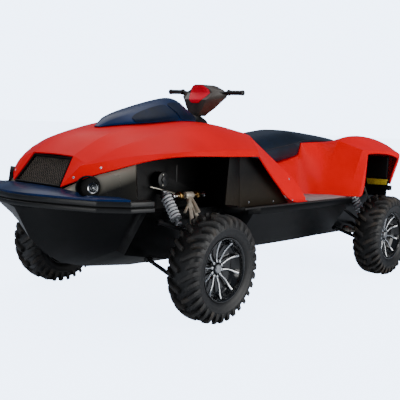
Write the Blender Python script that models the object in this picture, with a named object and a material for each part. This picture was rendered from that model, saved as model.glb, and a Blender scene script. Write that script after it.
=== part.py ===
"""Amphibious all-terrain vehicle: a quad bike on a planing hull with a water-jet drive.

Metres, +X forward, +Y left, +Z up. The ground is z = 0 and the box is centred on the origin.
Each object is one sub-part. A turning piece has its origin on its own joint's axis.
"""

from math import cos, hypot, pi, radians, sin

import bmesh
import bpy
from mathutils import Matrix, Vector

# Driving dimensions
LENGTH = 3.64
TRACK = 1.39
WHEELBASE = 2.14
FRONT_AXLE_X = 0.91
REAR_AXLE_X = FRONT_AXLE_X - WHEELBASE
TYRE_RADIUS = 0.3175
AXLE_Z = TYRE_RADIUS
WHEEL_Y = TRACK / 2
FRONT_TYRE_WIDTH = 0.206
REAR_TYRE_WIDTH = 0.210
LUG_HEIGHT = 0.020
RIM_RADIUS = 0.186
BEAD_RADIUS = 0.174
SEAT_GAP = 0.0003
SKIN = 0.010
WHEEL_STEPS = 24

BOW_X = LENGTH / 2
TRANSOM_X = -1.70
WELL_Y = 0.400
GUNWALE_Y = 0.640
DECK_Z = 0.600
GUNWALE_Z = 0.625
FRAME_Y = 0.300
FRAME_TOP_Z = 0.925

KINGPIN_Y = 0.555
KINGPIN_TOP_Z = 0.490
KINGPIN_BOTTOM_Z = 0.200
SPINDLE_RADIUS = 0.018
BORE_RADIUS = 0.0187
STEERING_ARM = 0.11
TIE_ROD_Z = 0.392
RACK_CHANNEL = 0.060

WELL_DECK_Z = 0.620
SHEER_Z = 0.665
LIP_TOP_Z = 0.722
ENGINE_X = (-0.78, -0.14)
ENGINE_Y = 0.180
ENGINE_Z = (0.330, 0.800)
PIVOT_Y = 0.345
PIVOT_Z = 0.695
PIVOT_RADIUS = 0.010
PIVOT_ENDS = (0.600, 0.905)
PIVOT_LUGS = (0.635, 0.875)
BUSH_X = (0.670, 0.840)
SHOCK_TOP = Vector((0.985, 0.355, 0.725))
SHOCK_FOOT = Vector((0.995, 0.486, 0.5551))
UPPER_REACH = 0.170
UPPER_PIVOT = (0.4165, 0.560)
LOWER_REACH = 0.190
LOWER_PIVOT = (0.3582, 0.335)
REAR_UPPER_PIVOT = (0.4008, 0.520)
REAR_LOWER_PIVOT = (0.3655, 0.345)
REAR_SHOCK_TOP = Vector((-1.140, 0.4049, 0.720))
REAR_SHOCK_FOOT = Vector((-1.230, 0.5500, 0.4069))
TIE_ROD_Y = 0.545
BAR_Z = 1.350

COLUMN_FOOT = Vector((0.305, 0, 1.155))
COLUMN_TOP = Vector((0.215, 0, 1.345))
GRIP_END_Y = 0.328

JET_Z = 0.350
NOZZLE_PIVOT_X = -1.725
BUCKET_PIVOT_X = -1.7591

SIDES = (("left", 1), ("right", -1))


def clear_scene():
    for item in list(bpy.data.objects):
        bpy.data.objects.remove(item, do_unlink=True)


def material(name, colour, roughness, metallic=0.0):
    made = bpy.data.materials.new(name)
    made.use_nodes = True
    shader = made.node_tree.nodes["Principled BSDF"]
    shader.inputs["Base Color"].default_value = (*colour, 1)
    shader.inputs["Roughness"].default_value = roughness
    shader.inputs["Metallic"].default_value = metallic
    return made


def finishes():
    """Name, linear colour, roughness, metallic."""
    table = (
        ("red_gel_coat", (0.80, 0.004, 0.010), 0.25, 0),
        ("black_hull", (0.010, 0.010, 0.011), 0.35, 0),
        ("navy_gloss", (0.008, 0.014, 0.035), 0.12, 0),
        ("grey_plastic", (0.045, 0.043, 0.040), 0.45, 0),
        ("olive_metal", (0.10, 0.10, 0.085), 0.35, 0.4),
        ("black_rubber", (0.015, 0.015, 0.015), 0.70, 0),
        ("steel", (0.50, 0.50, 0.48), 0.35, 1),
        ("brass", (0.55, 0.33, 0.08), 0.30, 1),
        ("black_steel", (0.020, 0.020, 0.020), 0.40, 0.5),
        ("aluminium", (0.60, 0.60, 0.62), 0.30, 1),
        ("mat_grey", (0.40, 0.36, 0.36), 0.80, 0),
        ("lamp_glass", (0.70, 0.72, 0.75), 0.05, 0),
    )
    return {name: material(name, colour, rough, metal) for name, colour, rough, metal in table}


def solid(name, points, faces, finish, origin=(0, 0, 0)):
    """An object from world points and faces, with its faces turned outwards."""
    mesh = bpy.data.meshes.new(name)
    shift = Vector(origin)
    mesh.from_pydata([Vector(point) - shift for point in points], [], faces)
    work = bmesh.new()
    work.from_mesh(mesh)
    bmesh.ops.recalc_face_normals(work, faces=work.faces)
    work.to_mesh(mesh)
    work.free()
    made = bpy.data.objects.new(name, mesh)
    made.location = shift
    made.data.materials.append(finish)
    bpy.context.scene.collection.objects.link(made)
    return made


def loft(name, rings, finish, origin=(0, 0, 0)):
    """A closed solid through rings of equal length, capped at both ends."""
    count = len(rings[0])
    points = [point for ring in rings for point in ring]
    faces = [tuple(range(count))]
    for row in range(len(rings) - 1):
        first = row * count
        for i in range(count):
            j = (i + 1) % count
            faces.append((first + i, first + j, first + count + j, first + count + i))
    last = (len(rings) - 1) * count
    faces.append(tuple(range(last, last + count)))
    return solid(name, points, faces, finish, origin)


def turned(name, profile, finish, steps, centre, axis="Y", closed=True):
    """A profile of (radius, distance along the axis) spun round the axis through centre."""
    points, faces = [], []
    for step in range(steps):
        angle = 2 * pi * step / steps
        for radius, along in profile:
            if axis == "Y":
                points.append((radius * cos(angle), along, radius * sin(angle)))
            elif axis == "X":
                points.append((along, radius * cos(angle), radius * sin(angle)))
            else:
                points.append((radius * cos(angle), radius * sin(angle), along))
    rows = len(profile)
    for step in range(steps):
        after = (step + 1) % steps
        for i in range(rows if closed else rows - 1):
            j = (i + 1) % rows
            faces.append((step * rows + i, step * rows + j, after * rows + j, after * rows + i))
    if not closed:
        faces.append(tuple(step * rows for step in range(steps)))
        faces.append(tuple(step * rows + rows - 1 for step in range(steps)))
    shifted = [Vector(point) + Vector(centre) for point in points]
    return solid(name, shifted, faces, finish, centre)


def rod(start, end, radius, sides=8):
    """A bare cylinder between two points."""
    start, end = Vector(start), Vector(end)
    along = (end - start).normalized()
    across = along.orthogonal().normalized()
    other = along.cross(across)
    rings = []
    for centre in (start, end):
        ring = []
        for i in range(sides):
            angle = 2 * pi * (i + 0.5) / sides
            ring.append(centre + radius * (cos(angle) * across + sin(angle) * other))
        rings.append(ring)
    return loft("rod", rings, None)


def tube(points, radius, sides=8):
    """A bare bent rod through several points, mitred at its bends."""
    route = [Vector(point) for point in points]
    rings = []
    across = None
    for i, point in enumerate(route):
        before = (point - route[i - 1]).normalized() if i else None
        after = (route[i + 1] - point).normalized() if i + 1 < len(route) else None
        along = (before or after) + (after or before)
        along.normalize()
        across = along.orthogonal() if across is None else across - along * across.dot(along)
        across = across.normalized()
        other = along.cross(across)
        stretch = 1 / max(0.5, along.dot(before or after))
        ring = []
        for k in range(sides):
            angle = 2 * pi * k / sides
            ring.append(point + stretch * radius * (cos(angle) * across + sin(angle) * other))
        rings.append(ring)
    return loft("tube", rings, None)


def block(low, high, name="block", finish=None):
    """A box between two corners."""
    (x0, y0, z0), (x1, y1, z1) = low, high
    rings = [[(x, y0, z0), (x, y1, z0), (x, y1, z1), (x, y0, z1)] for x in (x0, x1)]
    return loft(name, rings, finish)


def plate(outline, low, high, axis="Z", name="plate", finish=None):
    """A flat outline extruded between two heights along X, Y or Z."""
    order = {"X": lambda a, b, c: (c, a, b), "Y": lambda a, b, c: (a, c, b), "Z": lambda a, b, c: (a, b, c)}
    put = order[axis]
    return loft(name, [[put(a, b, level) for a, b in outline] for level in (low, high)], finish)


def baked(item):
    """The object with its modifiers made part of its mesh."""
    graph = bpy.context.evaluated_depsgraph_get()
    graph.update()
    mesh = bpy.data.meshes.new_from_object(item.evaluated_get(graph))
    item.modifiers.clear()
    item.data = mesh
    return item


def combine(item, others, operation):
    for other in others:
        modifier = item.modifiers.new(operation, "BOOLEAN")
        modifier.operation = operation
        modifier.object = other
    bpy.context.view_layer.update()
    baked(item)
    for other in others:
        bpy.data.objects.remove(other, do_unlink=True)
    return item


def joined(name, pieces, finish, origin=(0, 0, 0)):
    """One closed body from overlapping pieces."""
    whole = combine(pieces[0], pieces[1:], "UNION")
    return finished(whole, name, finish, origin)


def finished(item, name, finish, origin=(0, 0, 0)):
    """Gives a joined body its name and finish, and puts its origin on its axis."""
    world = item.matrix_world.copy()
    shift = Matrix.Translation(-Vector(origin)) @ world
    item.data.transform(shift)
    item.matrix_world = Matrix.Translation(Vector(origin))
    item.name = name
    item.data.name = name
    item.data.materials.clear()
    item.data.materials.append(finish)
    return item


def cut(item, cutters):
    return combine(item, cutters, "DIFFERENCE")


def mirrored(point):
    return (point[0], -point[1], point[2])


def sided(points, side):
    return [(x, y * side, z) for x, y, z in points]


def shell(name, points, faces, thickness, finish, mirror=True):
    """A skin given as named half points, mirrored across the middle and thickened inwards."""
    names = list(points)
    index = {key: i for i, key in enumerate(names)}
    made = solid(name, [points[key] for key in names], [[index[key] for key in face] for face in faces], finish)
    if mirror:
        modifier = made.modifiers.new("mirror", "MIRROR")
        modifier.use_axis = (False, True, False)
        modifier.merge_threshold = 0.0001
    modifier = made.modifiers.new("thickness", "SOLIDIFY")
    modifier.thickness = thickness
    modifier.offset = -1
    modifier.use_even_offset = True
    return made


def make_hull(finish):
    """Sections from stern to bow: x, keel z, chine y, chine z, side y, side top z."""
    sections = (
        (TRANSOM_X, 0.290, 0.340, 0.330, WELL_Y, DECK_Z),
        (-1.45, 0.245, 0.340, 0.300, WELL_Y, DECK_Z),
        (-1.20, 0.240, 0.340, 0.300, WELL_Y, DECK_Z),
        (-0.885, 0.230, 0.340, 0.300, WELL_Y, DECK_Z),
        (-0.845, 0.230, 0.430, 0.330, 0.610, DECK_Z),
        (-0.30, 0.220, 0.450, 0.330, 0.622, DECK_Z),
        (0.42, 0.220, 0.450, 0.335, 0.612, DECK_Z),
        (0.49, 0.220, 0.340, 0.310, WELL_Y, DECK_Z),
        (0.53, 0.220, 0.340, 0.310, WELL_Y, WELL_DECK_Z),
        (0.90, 0.220, 0.330, 0.310, WELL_Y, WELL_DECK_Z),
        (1.25, 0.255, 0.310, 0.370, WELL_Y, WELL_DECK_Z),
        (1.33, 0.272, 0.330, 0.410, 0.560, SHEER_Z),
        (1.46, 0.305, 0.290, 0.440, 0.565, SHEER_Z),
        (1.57, 0.370, 0.220, 0.500, 0.490, SHEER_Z),
        (1.68, 0.470, 0.130, 0.570, 0.350, SHEER_Z),
        (1.755, 0.600, 0.040, 0.640, 0.170, SHEER_Z),
    )
    rings = []
    for x, keel_z, chine_y, chine_z, side_y, side_z in sections:
        half = [(x, chine_y, chine_z), (x, side_y, side_z)]
        rings.append([(x, 0, keel_z), *half, *[mirrored(point) for point in reversed(half)]])
    hull = loft("hull", rings, finish)
    half_plan = (
        (-0.855, 0.560), (-0.830, GUNWALE_Y - 0.012), (-0.30, GUNWALE_Y), (0.38, GUNWALE_Y - 0.008),
        (0.45, 0.590), (0.505, 0.450), (0.505, 0.380),
    )
    plan = [*half_plan, *[(x, -y) for x, y in reversed(half_plan)]]
    deck = plate(plan, DECK_Z - 0.015, GUNWALE_Z)
    pump = rod((TRANSOM_X + 0.05, 0, JET_Z), (NOZZLE_PIVOT_X + 0.018, 0, JET_Z), 0.072, 20)
    tabs = []
    for end in (-1, 1):
        z0, z1 = sorted((JET_Z + end * 0.0620, JET_Z + end * 0.0880))
        tabs.append(block((TRANSOM_X - 0.011, -0.011, z0), (TRANSOM_X + 0.04, 0.011, z1)))
        z0, z1 = sorted((JET_Z + end * 0.0800, JET_Z + end * 0.0875))
        tabs.append(block((NOZZLE_PIVOT_X - 0.011, -0.0105, z0), (TRANSOM_X + 0.03, 0.0105, z1)))
    combine(hull, [pump, deck, *tabs], "UNION")
    rack_x = FRONT_AXLE_X - STEERING_ARM
    half = RACK_CHANNEL / 2
    rack_bay = block((rack_x - half, -0.7, TIE_ROD_Z - half), (rack_x + half, 0.7, TIE_ROD_Z + half))
    engine_bay = block(
        (ENGINE_X[0] - 0.02, -ENGINE_Y - 0.02, ENGINE_Z[0]), (ENGINE_X[1] + 0.02, ENGINE_Y + 0.02, 0.75)
    )
    cut(hull, [engine_bay, rack_bay])
    return finished(hull, "hull", finish)


def make_engine(finish):
    low = (ENGINE_X[0], -ENGINE_Y, ENGINE_Z[0] + SEAT_GAP)
    return block(low, (ENGINE_X[1], ENGINE_Y, ENGINE_Z[1]), "engine_block", finish)


BOW_PLAN = ((1.37, 0.650), (1.52, 0.622), (1.655, 0.505), (1.745, 0.300), (1.805, 0.120), (BOW_X, 0.0))


def bow_outline(inset):
    """The bow's plan, moved inwards by inset, from the left side round to the right."""
    whole = [*BOW_PLAN, *[(x, -y) for x, y in reversed(BOW_PLAN[:-1])]]
    moved = []
    for i, (x, y) in enumerate(whole):
        ahead = whole[min(i + 1, len(whole) - 1)]
        behind = whole[max(i - 1, 0)]
        run = Vector((ahead[0] - behind[0], ahead[1] - behind[1])).normalized()
        moved.append((x + run.y * inset, y - run.x * inset))
    return moved


def make_bow_lip(finish):
    """A two-step rub rail swept round the bow. Each step of its section: inset, z."""
    section = (
        (0.000, SHEER_Z + SEAT_GAP), (0.000, 0.686), (0.014, 0.691), (0.006, 0.697),
        (0.006, LIP_TOP_Z), (0.100, LIP_TOP_Z), (0.100, SHEER_Z + SEAT_GAP),
    )
    sides = [[(x, y, z) for x, y in bow_outline(inset)] for inset, z in section]
    return loft("bow_lip", [list(ring) for ring in zip(*sides)], finish)


def make_bow_deck(finish):
    """The plate over the bow: its rim on the lip, its middle rising to the grille."""
    bottom = LIP_TOP_Z + SEAT_GAP
    outer = [(x, y) for x, y in bow_outline(0.012)][1:-1]
    inner = [(1.4800, 0.480), (1.5840, 0.363), (1.6180, 0.292), (1.6500, 0.212), (1.6500, 0.0)]
    inner = [*inner, *[(x, -y) for x, y in reversed(inner[:-1])]]
    rise = [0.7355, 0.738, 0.752, 0.764, 0.766, 0.764, 0.752, 0.738, 0.7355]
    rings = []
    for (ox, oy), (ix, iy), top in zip(outer, inner, rise):
        rings.append([(ox, oy, bottom), (ox, oy, bottom + 0.012), (ix, iy, top), (ix, iy, bottom)])
    deck = loft("bow_deck", rings, finish)
    for _, side in SIDES:
        cut(deck, [lamp_hole(side)])
    return finished(deck, "bow_deck", finish)


# Front body: named points of the left half. A centre, B tank edge, C shoulder crease, D band
# crease, E lower edge, F front edge of the leg, G rear edge of the leg, H its inner return.
FRONT_BODY_POINTS = {
    "A0": (1.535, 0, 0.938), "A1": (1.400, 0, 1.042), "A2": (1.270, 0, 1.078), "A3": (1.190, 0, 1.095),
    "A4": (1.050, 0, 1.119), "A5": (0.860, 0, 1.140), "A6": (0.660, 0, 1.150), "A7": (0.420, 0, 1.143),
    "A8": (0.240, 0, 1.105),
    "B0": (1.530, 0.172, 0.932), "B1": (1.382, 0.200, 1.029), "B2": (1.254, 0.180, 1.068),
    "B3": (1.178, 0.175, 1.083), "B4": (1.033, 0.182, 1.115), "B5": (0.860, 0.225, 1.138),
    "B6": (0.660, 0.250, 1.150), "B7": (0.420, 0.240, 1.143), "B8": (0.240, 0.200, 1.105),
    "C0": (1.529, 0.285, 0.898), "C1": (1.454, 0.315, 0.937), "C2": (1.365, 0.335, 0.984),
    "C3": (1.276, 0.360, 1.013), "C4": (1.069, 0.380, 1.069), "C5": (0.850, 0.385, 1.118),
    "C6": (0.660, 0.400, 1.143), "C7": (0.430, 0.425, 1.118), "C8": (0.260, 0.430, 1.070),
    "N0": (1.642, 0.205, 0.770),
    "D0": (1.560, 0.265, 0.884), "D1": (1.479, 0.340, 0.907), "D2": (1.413, 0.385, 0.928),
    "D3": (1.311, 0.465, 0.952), "D4": (1.207, 0.545, 0.967), "D5": (1.080, 0.615, 0.984),
    "D6": (0.760, 0.640, 0.990), "D7": (0.440, 0.628, 0.990),
    "E0": (1.584, 0.295, 0.815), "E1": (1.507, 0.365, 0.853), "E2": (1.441, 0.425, 0.879),
    "E3": (1.325, 0.495, 0.920), "E4": (1.222, 0.560, 0.946), "E5": (1.090, 0.625, 0.958),
    "E6": (0.760, 0.650, 0.952), "E7": (0.425, 0.632, 0.950),
    "F1": (0.255, 0.622, 0.815), "F2": (0.130, 0.618, 0.723), "F3": (-0.010, 0.612, 0.610),
    "G0": (0.340, 0.500, 1.060), "G1": (0.040, 0.560, 0.857), "G2": (-0.070, 0.585, 0.795),
    "G3": (-0.200, 0.630, 0.610),
    "H0": (0.315, 0.445, 1.045), "H1": (0.025, 0.515, 0.850), "H2": (-0.085, 0.545, 0.790),
    "H3": (-0.215, 0.590, 0.610),
}


def make_front_body(finish):
    faces = [("B0", "N0", "D0", "C0"), ("N0", "E0", "D0")]
    for upper, lower, last in (("A", "B", 8), ("B", "C", 8), ("C", "D", 7), ("D", "E", 7)):
        for i in range(last):
            faces.append((f"{upper}{i}", f"{lower}{i}", f"{lower}{i + 1}", f"{upper}{i + 1}"))
    faces += [("C7", "D7", "G0"), ("C7", "G0", "C8"), ("C8", "G0", "H0")]
    faces += [("D7", "E7", "G0"), ("E7", "F1", "G1", "G0")]
    faces += [(f"F{i}", f"F{i + 1}", f"G{i + 1}", f"G{i}") for i in (1, 2)]
    faces += [(f"G{i}", f"G{i + 1}", f"H{i + 1}", f"H{i}") for i in range(3)]
    body = baked(shell("front_body", FRONT_BODY_POINTS, faces, SKIN, finish))
    foot = block((-0.6, -0.9, 0.5), (0.7, 0.9, GUNWALE_Z + SEAT_GAP))
    cut(body, [foot])
    return finished(body, "front_body", finish)


NOSE_TOP = Vector((1.529, 0, 0.925))
NOSE_FOOT = Vector((1.642, 0, 0.770))


def make_grille(finish):
    """A trapezoid plate set back in the nose, with slots either side of a middle rib."""
    up = (NOSE_TOP - NOSE_FOOT).normalized()
    out = Vector((up.z, 0, -up.x))
    height = (NOSE_TOP - NOSE_FOOT).length
    def point(y, along, depth):
        return NOSE_FOOT + up * along - out * depth + Vector((0, y, 0))
    def slab(outline, front, back):
        return loft("slab", [[point(y, a, depth) for y, a in outline] for depth in (front, back)], None)
    outline = [(0.188, 0.004), (0.157, height - 0.022), (-0.157, height - 0.022), (-0.188, 0.004)]
    plate_part = slab(outline, 0.018, 0.032)
    cutters = []
    rows = 6
    for row in range(rows):
        a0 = 0.018 + row * (height - 0.052) / rows
        a1 = a0 + (height - 0.052) / rows - 0.008
        reach = 0.174 - 0.033 * (a1 / height)
        for low, high in ((0.010, reach), (-reach, -0.010)):
            cutters.append(slab([(low, a0), (high, a0), (high, a1), (low, a1)], 0.010, 0.040))
    cut(plate_part, cutters)
    rib = slab([(-0.006, 0.006), (0.006, 0.006), (0.004, height - 0.026), (-0.004, height - 0.026)], 0.006, 0.024)
    feet = [block((1.612, min(y), 0.738), (1.6497, max(y), 0.760)) for y in ((0.100, 0.130), (-0.100, -0.130))]
    return joined("grille", [plate_part, rib, *feet], finish)


LAMP_CENTRE = Vector((1.578, 0.338, 0.7685))
LAMP_AXIS = Vector((0.80, 0.54, 0.10)).normalized()
LAMP_RADIUS = 0.042


def lamp_hole(side):
    centre = Vector((LAMP_CENTRE.x, LAMP_CENTRE.y * side, LAMP_CENTRE.z))
    axis = Vector((LAMP_AXIS.x, LAMP_AXIS.y * side, LAMP_AXIS.z))
    return rod(centre - axis * 0.2, centre + axis * 0.2, LAMP_RADIUS + 0.0010, 18)


def make_lamp_fairing(name, side, finish):
    """The panel below the red skirt. Each station: top outer, foot outer."""
    stations = (
        ((1.628, 0.212, 0.758), (1.648, 0.212, 0.748)),
        ((1.574, 0.282, 0.803), (1.615, 0.290, 0.738)),
        ((1.500, 0.352, 0.843), (1.581, 0.360, 0.7255)),
        ((1.432, 0.412, 0.868), (1.500, 0.450, LIP_TOP_Z + SEAT_GAP)),
        ((1.345, 0.465, 0.900), (1.415, 0.556, LIP_TOP_Z + SEAT_GAP)),
    )
    rings = []
    for top, foot in stations:
        inward = Vector((-0.040, -0.030, 0))
        rings.append([top, foot, tuple(Vector(foot) + inward), tuple(Vector(top) + inward)])
    panel = loft(name, [sided(ring, side) for ring in rings], finish)
    cut(panel, [lamp_hole(side)])
    return finished(panel, name, finish)


def make_headlamp(name, side, finish):
    """A round cup with a small lamp at its bottom. Profile: radius, distance out of the panel."""
    profile = (
        (LAMP_RADIUS, -0.055), (LAMP_RADIUS, 0.012), (LAMP_RADIUS - 0.007, 0.012),
        (LAMP_RADIUS - 0.013, -0.030), (0.024, -0.036), (0.022, -0.014), (0.019, -0.014), (0.017, -0.022),
        (0.0005, -0.022), (0.0005, -0.055),
    )
    made = turned(name, profile, finish, 18, (0, 0, 0), "Z")
    axis = Vector((LAMP_AXIS.x, LAMP_AXIS.y * side, LAMP_AXIS.z))
    turn = axis.to_track_quat("Z", "Y").to_matrix().to_4x4()
    made.data.transform(Matrix.Translation((LAMP_CENTRE.x, LAMP_CENTRE.y * side, LAMP_CENTRE.z)) @ turn)
    return made


def make_front_frame(finish):
    """The inner box of the front arches, with the brackets that carry shafts and dampers."""
    box = block((0.560, -FRAME_Y, WELL_DECK_Z + SEAT_GAP), (1.240, FRAME_Y, FRAME_TOP_Z))
    pieces = [box]
    for _, side in SIDES:
        for x in PIVOT_LUGS:
            low, high = sorted((side * (FRAME_Y - 0.02), side * (PIVOT_Y - 0.0097)))
            pieces.append(block((x - 0.010, low, PIVOT_Z - 0.022), (x + 0.010, high, PIVOT_Z + 0.022)))
        low, high = sorted((side * (FRAME_Y - 0.02), side * (SHOCK_TOP.y - 0.0148)))
        pieces.append(block((SHOCK_TOP.x - 0.014, low, SHOCK_TOP.z - 0.016), (SHOCK_TOP.x + 0.014, high, SHOCK_TOP.z + 0.016)))
    return joined("front_frame", pieces, finish)


def make_side_panel(name, side, finish):
    """The plate between the front arch and the footwell."""
    outline = ((0.500, GUNWALE_Z + SEAT_GAP), (0.525, 0.955), (0.300, 0.930), (-0.060, GUNWALE_Z + SEAT_GAP))
    panel = plate(outline, 0.545 * side, 0.553 * side, "Y", name, finish)
    return panel


def make_footboard(name, side, finish):
    outline = ((-0.780, 0.450), (-0.780, 0.600), (-0.240, 0.606), (-0.240, 0.300), (-0.600, 0.300))
    return plate([(x, y * side) for x, y in outline], GUNWALE_Z + SEAT_GAP, GUNWALE_Z + 0.012, "Z", name, finish)


# Rear body: named points of the left half. P centre, Q seat edge, R foot, S fender ridge,
# U fender's outer edge, V lip of the wheel opening, W tail strip, X stern.
REAR_BODY_POINTS = {
    "P0": (0.300, 0, 0.860), "P1": (-0.400, 0, 0.865), "P2": (-0.640, 0, 0.925), "P3": (-0.665, 0, 1.020),
    "P4": (-0.940, 0, 1.030), "P5": (-1.400, 0, 1.005), "P6": (-1.790, 0, 0.955),
    "Q0": (0.300, 0.190, 0.860), "Q1": (-0.400, 0.215, 0.865), "Q2": (-0.640, 0.245, 0.925),
    "Q3": (-0.665, 0.250, 1.020), "Q4": (-0.940, 0.260, 1.030), "Q5": (-1.400, 0.270, 1.005),
    "Q6": (-1.790, 0.250, 0.955),
    "R0": (0.300, 0.270, 0.600), "R1": (-0.400, 0.285, 0.600), "R2": (-0.640, 0.300, 0.600),
    "R3": (-0.735, 0.415, 0.600), "R4": (-0.890, 0.560, 0.600), "R5": (-0.945, 0.625, 0.600),
    "S3": (-0.920, 0.415, 1.052), "S4": (-1.120, 0.430, 1.108), "S5": (-1.380, 0.480, 1.088),
    "S6": (-1.620, 0.505, 1.030), "S7": (-1.800, 0.480, 0.975),
    "U3": (-0.975, 0.610, 0.988), "U4": (-1.120, 0.635, 0.988), "U5": (-1.380, 0.645, 0.982),
    "U6": (-1.590, 0.635, 0.965), "U7": (-1.755, 0.580, 0.935),
    "V3": (-1.010, 0.642, 0.960), "V4": (-1.130, 0.648, 0.966), "V5": (-1.380, 0.652, 0.955),
    "V6": (-1.560, 0.642, 0.920),
    "R6": (-0.985, 0.645, 0.600),
    "W6": (-1.430, 0.632, 0.705), "W7": (-1.520, 0.622, 0.700), "V7": (-1.700, 0.595, 0.880),
    "X0": (-1.815, 0, 0.880), "X1": (-1.815, 0.260, 0.880), "X2": (-1.800, 0.480, 0.890),
    "Y0": (-1.740, 0, 0.700), "Y1": (-1.740, 0.250, 0.700), "Y2": (-1.690, 0.470, 0.700),
}


def make_rear_body(finish):
    faces = [(f"P{i}", f"P{i + 1}", f"Q{i + 1}", f"Q{i}") for i in range(6)]
    faces += [("Q0", "Q1", "R1", "R0"), ("Q1", "Q2", "R2", "R1"), ("Q2", "Q3", "R3", "R2")]
    faces += [("Q3", "Q4", "S3", "R3")]
    faces += [("Q4", "S4", "S3"), ("Q4", "Q5", "S5", "S4"), ("Q5", "S6", "S5"), ("Q5", "Q6", "S7", "S6")]
    faces += [("S3", "U3", "R4", "R3"), ("U3", "V3", "R5", "R4"), ("V3", "R6", "R5")]
    faces += [(f"S{i}", f"S{i + 1}", f"U{i + 1}", f"U{i}") for i in range(3, 7)]
    faces += [(f"U{i}", f"U{i + 1}", f"V{i + 1}", f"V{i}") for i in range(3, 7)]
    faces += [("V6", "V7", "W7", "W6")]
    faces += [("P6", "X0", "X1", "Q6"), ("Q6", "X1", "X2", "S7"), ("X0", "Y0", "Y1", "X1"), ("X1", "Y1", "Y2", "X2")]
    faces += [("S7", "X2", "V7", "U7"), ("X2", "Y2", "W7", "V7")]
    body = baked(shell("rear_body", REAR_BODY_POINTS, faces, SKIN, finish))
    under = block((-1.2, -0.9, 0.5), (0.6, 0.9, GUNWALE_Z + SEAT_GAP))
    cut(body, [under])
    return finished(body, "rear_body", finish)


def make_arch_liner(name, side, finish):
    """The black wall inside the rear wheel arch, with its rear wall turned outwards."""
    outline = (
        (-1.000, 0.345), (-1.000, 0.390), (-1.450, 0.390), (-1.450, 0.600), (-1.475, 0.600), (-1.475, 0.345),
    )
    return plate([(x, y * side) for x, y in outline], DECK_Z + SEAT_GAP, 0.930, "Z", name, finish)


def make_seat(finish):
    """Sections from front to back: x, foot half width, foot z, side half width, side z, top half width, top z."""
    sections = (
        (0.180, 0.150, 0.8612, 0.175, 0.900, 0.100, 0.975),
        (-0.100, 0.190, 0.8635, 0.205, 0.940, 0.130, 1.030),
        (-0.395, 0.208, 0.8656, 0.225, 0.985, 0.150, 1.085),
        (-0.638, 0.236, 0.9254, 0.240, 1.020, 0.165, 1.112),
        (-0.6644, 0.238, 1.0206, 0.242, 1.040, 0.165, 1.113),
        (-0.940, 0.236, 1.0306, 0.240, 1.045, 0.160, 1.095),
        (-1.400, 0.195, 1.0058, 0.202, 1.016, 0.130, 1.056),
        (-1.460, 0.150, 0.9981, 0.160, 1.005, 0.110, 1.035),
    )
    rings = []
    for x, foot_y, foot_z, side_y, side_z, top_y, top_z in sections:
        half = [(x, foot_y, foot_z), (x, side_y, side_z), (x, top_y, top_z - 0.010), (x, top_y * 0.5, top_z)]
        rings.append([*half, *[mirrored(point) for point in reversed(half)]])
    return loft("seat", rings, finish)


def make_cowl(finish):
    """The cowl ahead of the bars. Its feet follow the flat top of the front body."""
    gap = 2 * SEAT_GAP
    sections = (
        (1.215, 1.0905, 0.022, 0.016, 1.096),
        (1.160, 1.1010, 0.062, 0.042, 1.132),
        (1.095, 1.1125, 0.120, 0.068, 1.166),
        (1.000, 1.1255, 0.190, 0.084, 1.199),
        (0.900, 1.1372, 0.225, 0.090, 1.230),
        (0.780, 1.1456, 0.230, 0.090, 1.264),
        (0.660, 1.1500, 0.225, 0.082, 1.292),
        (0.580, 1.1492, 0.200, 0.074, 1.302),
        (0.500, 1.1465, 0.165, 0.066, 1.262),
        (0.445, 1.1437, 0.120, 0.055, 1.200),
    )
    rings = []
    for x, foot_z, foot_y, top_y, top_z in sections:
        half = [(x, foot_y, foot_z + gap), (x, foot_y * 0.93, foot_z + 0.3 * (top_z - foot_z)), (x, top_y, top_z - 0.2 * (top_z - foot_z))]
        rings.append([*half, (x, 0, top_z), *[mirrored(point) for point in reversed(half)]])
    return loft("cowl", rings, finish)


def make_console(finish):
    """The black pad that the steering column comes out of."""
    gap = 2 * SEAT_GAP
    pad = loft("pad", [
        [(0.440, -0.110, 1.1437 + gap), (0.440, 0.110, 1.1437 + gap), (0.440, 0.050, 1.164), (0.440, -0.050, 1.164)],
        [(0.420, -0.110, 1.143 + gap), (0.420, 0.110, 1.143 + gap), (0.420, 0.060, 1.166), (0.420, -0.060, 1.166)],
        [(0.245, -0.080, 1.1061 + gap), (0.245, 0.080, 1.1061 + gap), (0.245, 0.050, 1.135), (0.245, -0.050, 1.135)],
    ], None)
    along = (COLUMN_TOP - COLUMN_FOOT).normalized()
    collar = rod(COLUMN_FOOT - along * 0.022, COLUMN_FOOT + along * 0.008, 0.038, 16)
    return joined("console", [pad, collar], finish)


def column_x(z):
    return COLUMN_FOOT.x + (z - COLUMN_FOOT.z) * (COLUMN_TOP.x - COLUMN_FOOT.x) / (COLUMN_TOP.z - COLUMN_FOOT.z)


def steering_core(extra=0.0):
    """The bars and the stem that turn about the raked column, as bare pieces grown by extra."""
    along = (COLUMN_TOP - COLUMN_FOOT).normalized()
    stem = rod(COLUMN_FOOT + along * (0.0085 - extra), COLUMN_TOP + along * extra, 0.024 + extra, 10)
    route = ((0.218, GRIP_END_Y, BAR_Z), (0.222, 0.190, BAR_Z), (0.240, 0.090, 1.335))
    whole = [*[mirrored(point) for point in route], *reversed(route)]
    return [tube(whole, 0.011 + extra, 8), stem]


def make_handlebar(finish):
    pieces = steering_core()
    for _, side in SIDES:
        for start, end, radius in ((0.205, 0.326, 0.0165), (0.200, 0.212, 0.0210), (0.314, GRIP_END_Y, 0.0185)):
            pieces.append(rod((0.2190, side * start, BAR_Z), (0.2190, side * end, BAR_Z), radius, 10))
    joined("handlebar", pieces, finish["black_rubber"], COLUMN_FOOT)
    nacelle = make_nacelle(finish["grey_plastic"])
    cut(nacelle, steering_core(0.0010))
    finished(nacelle, "nacelle", finish["grey_plastic"])


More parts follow.
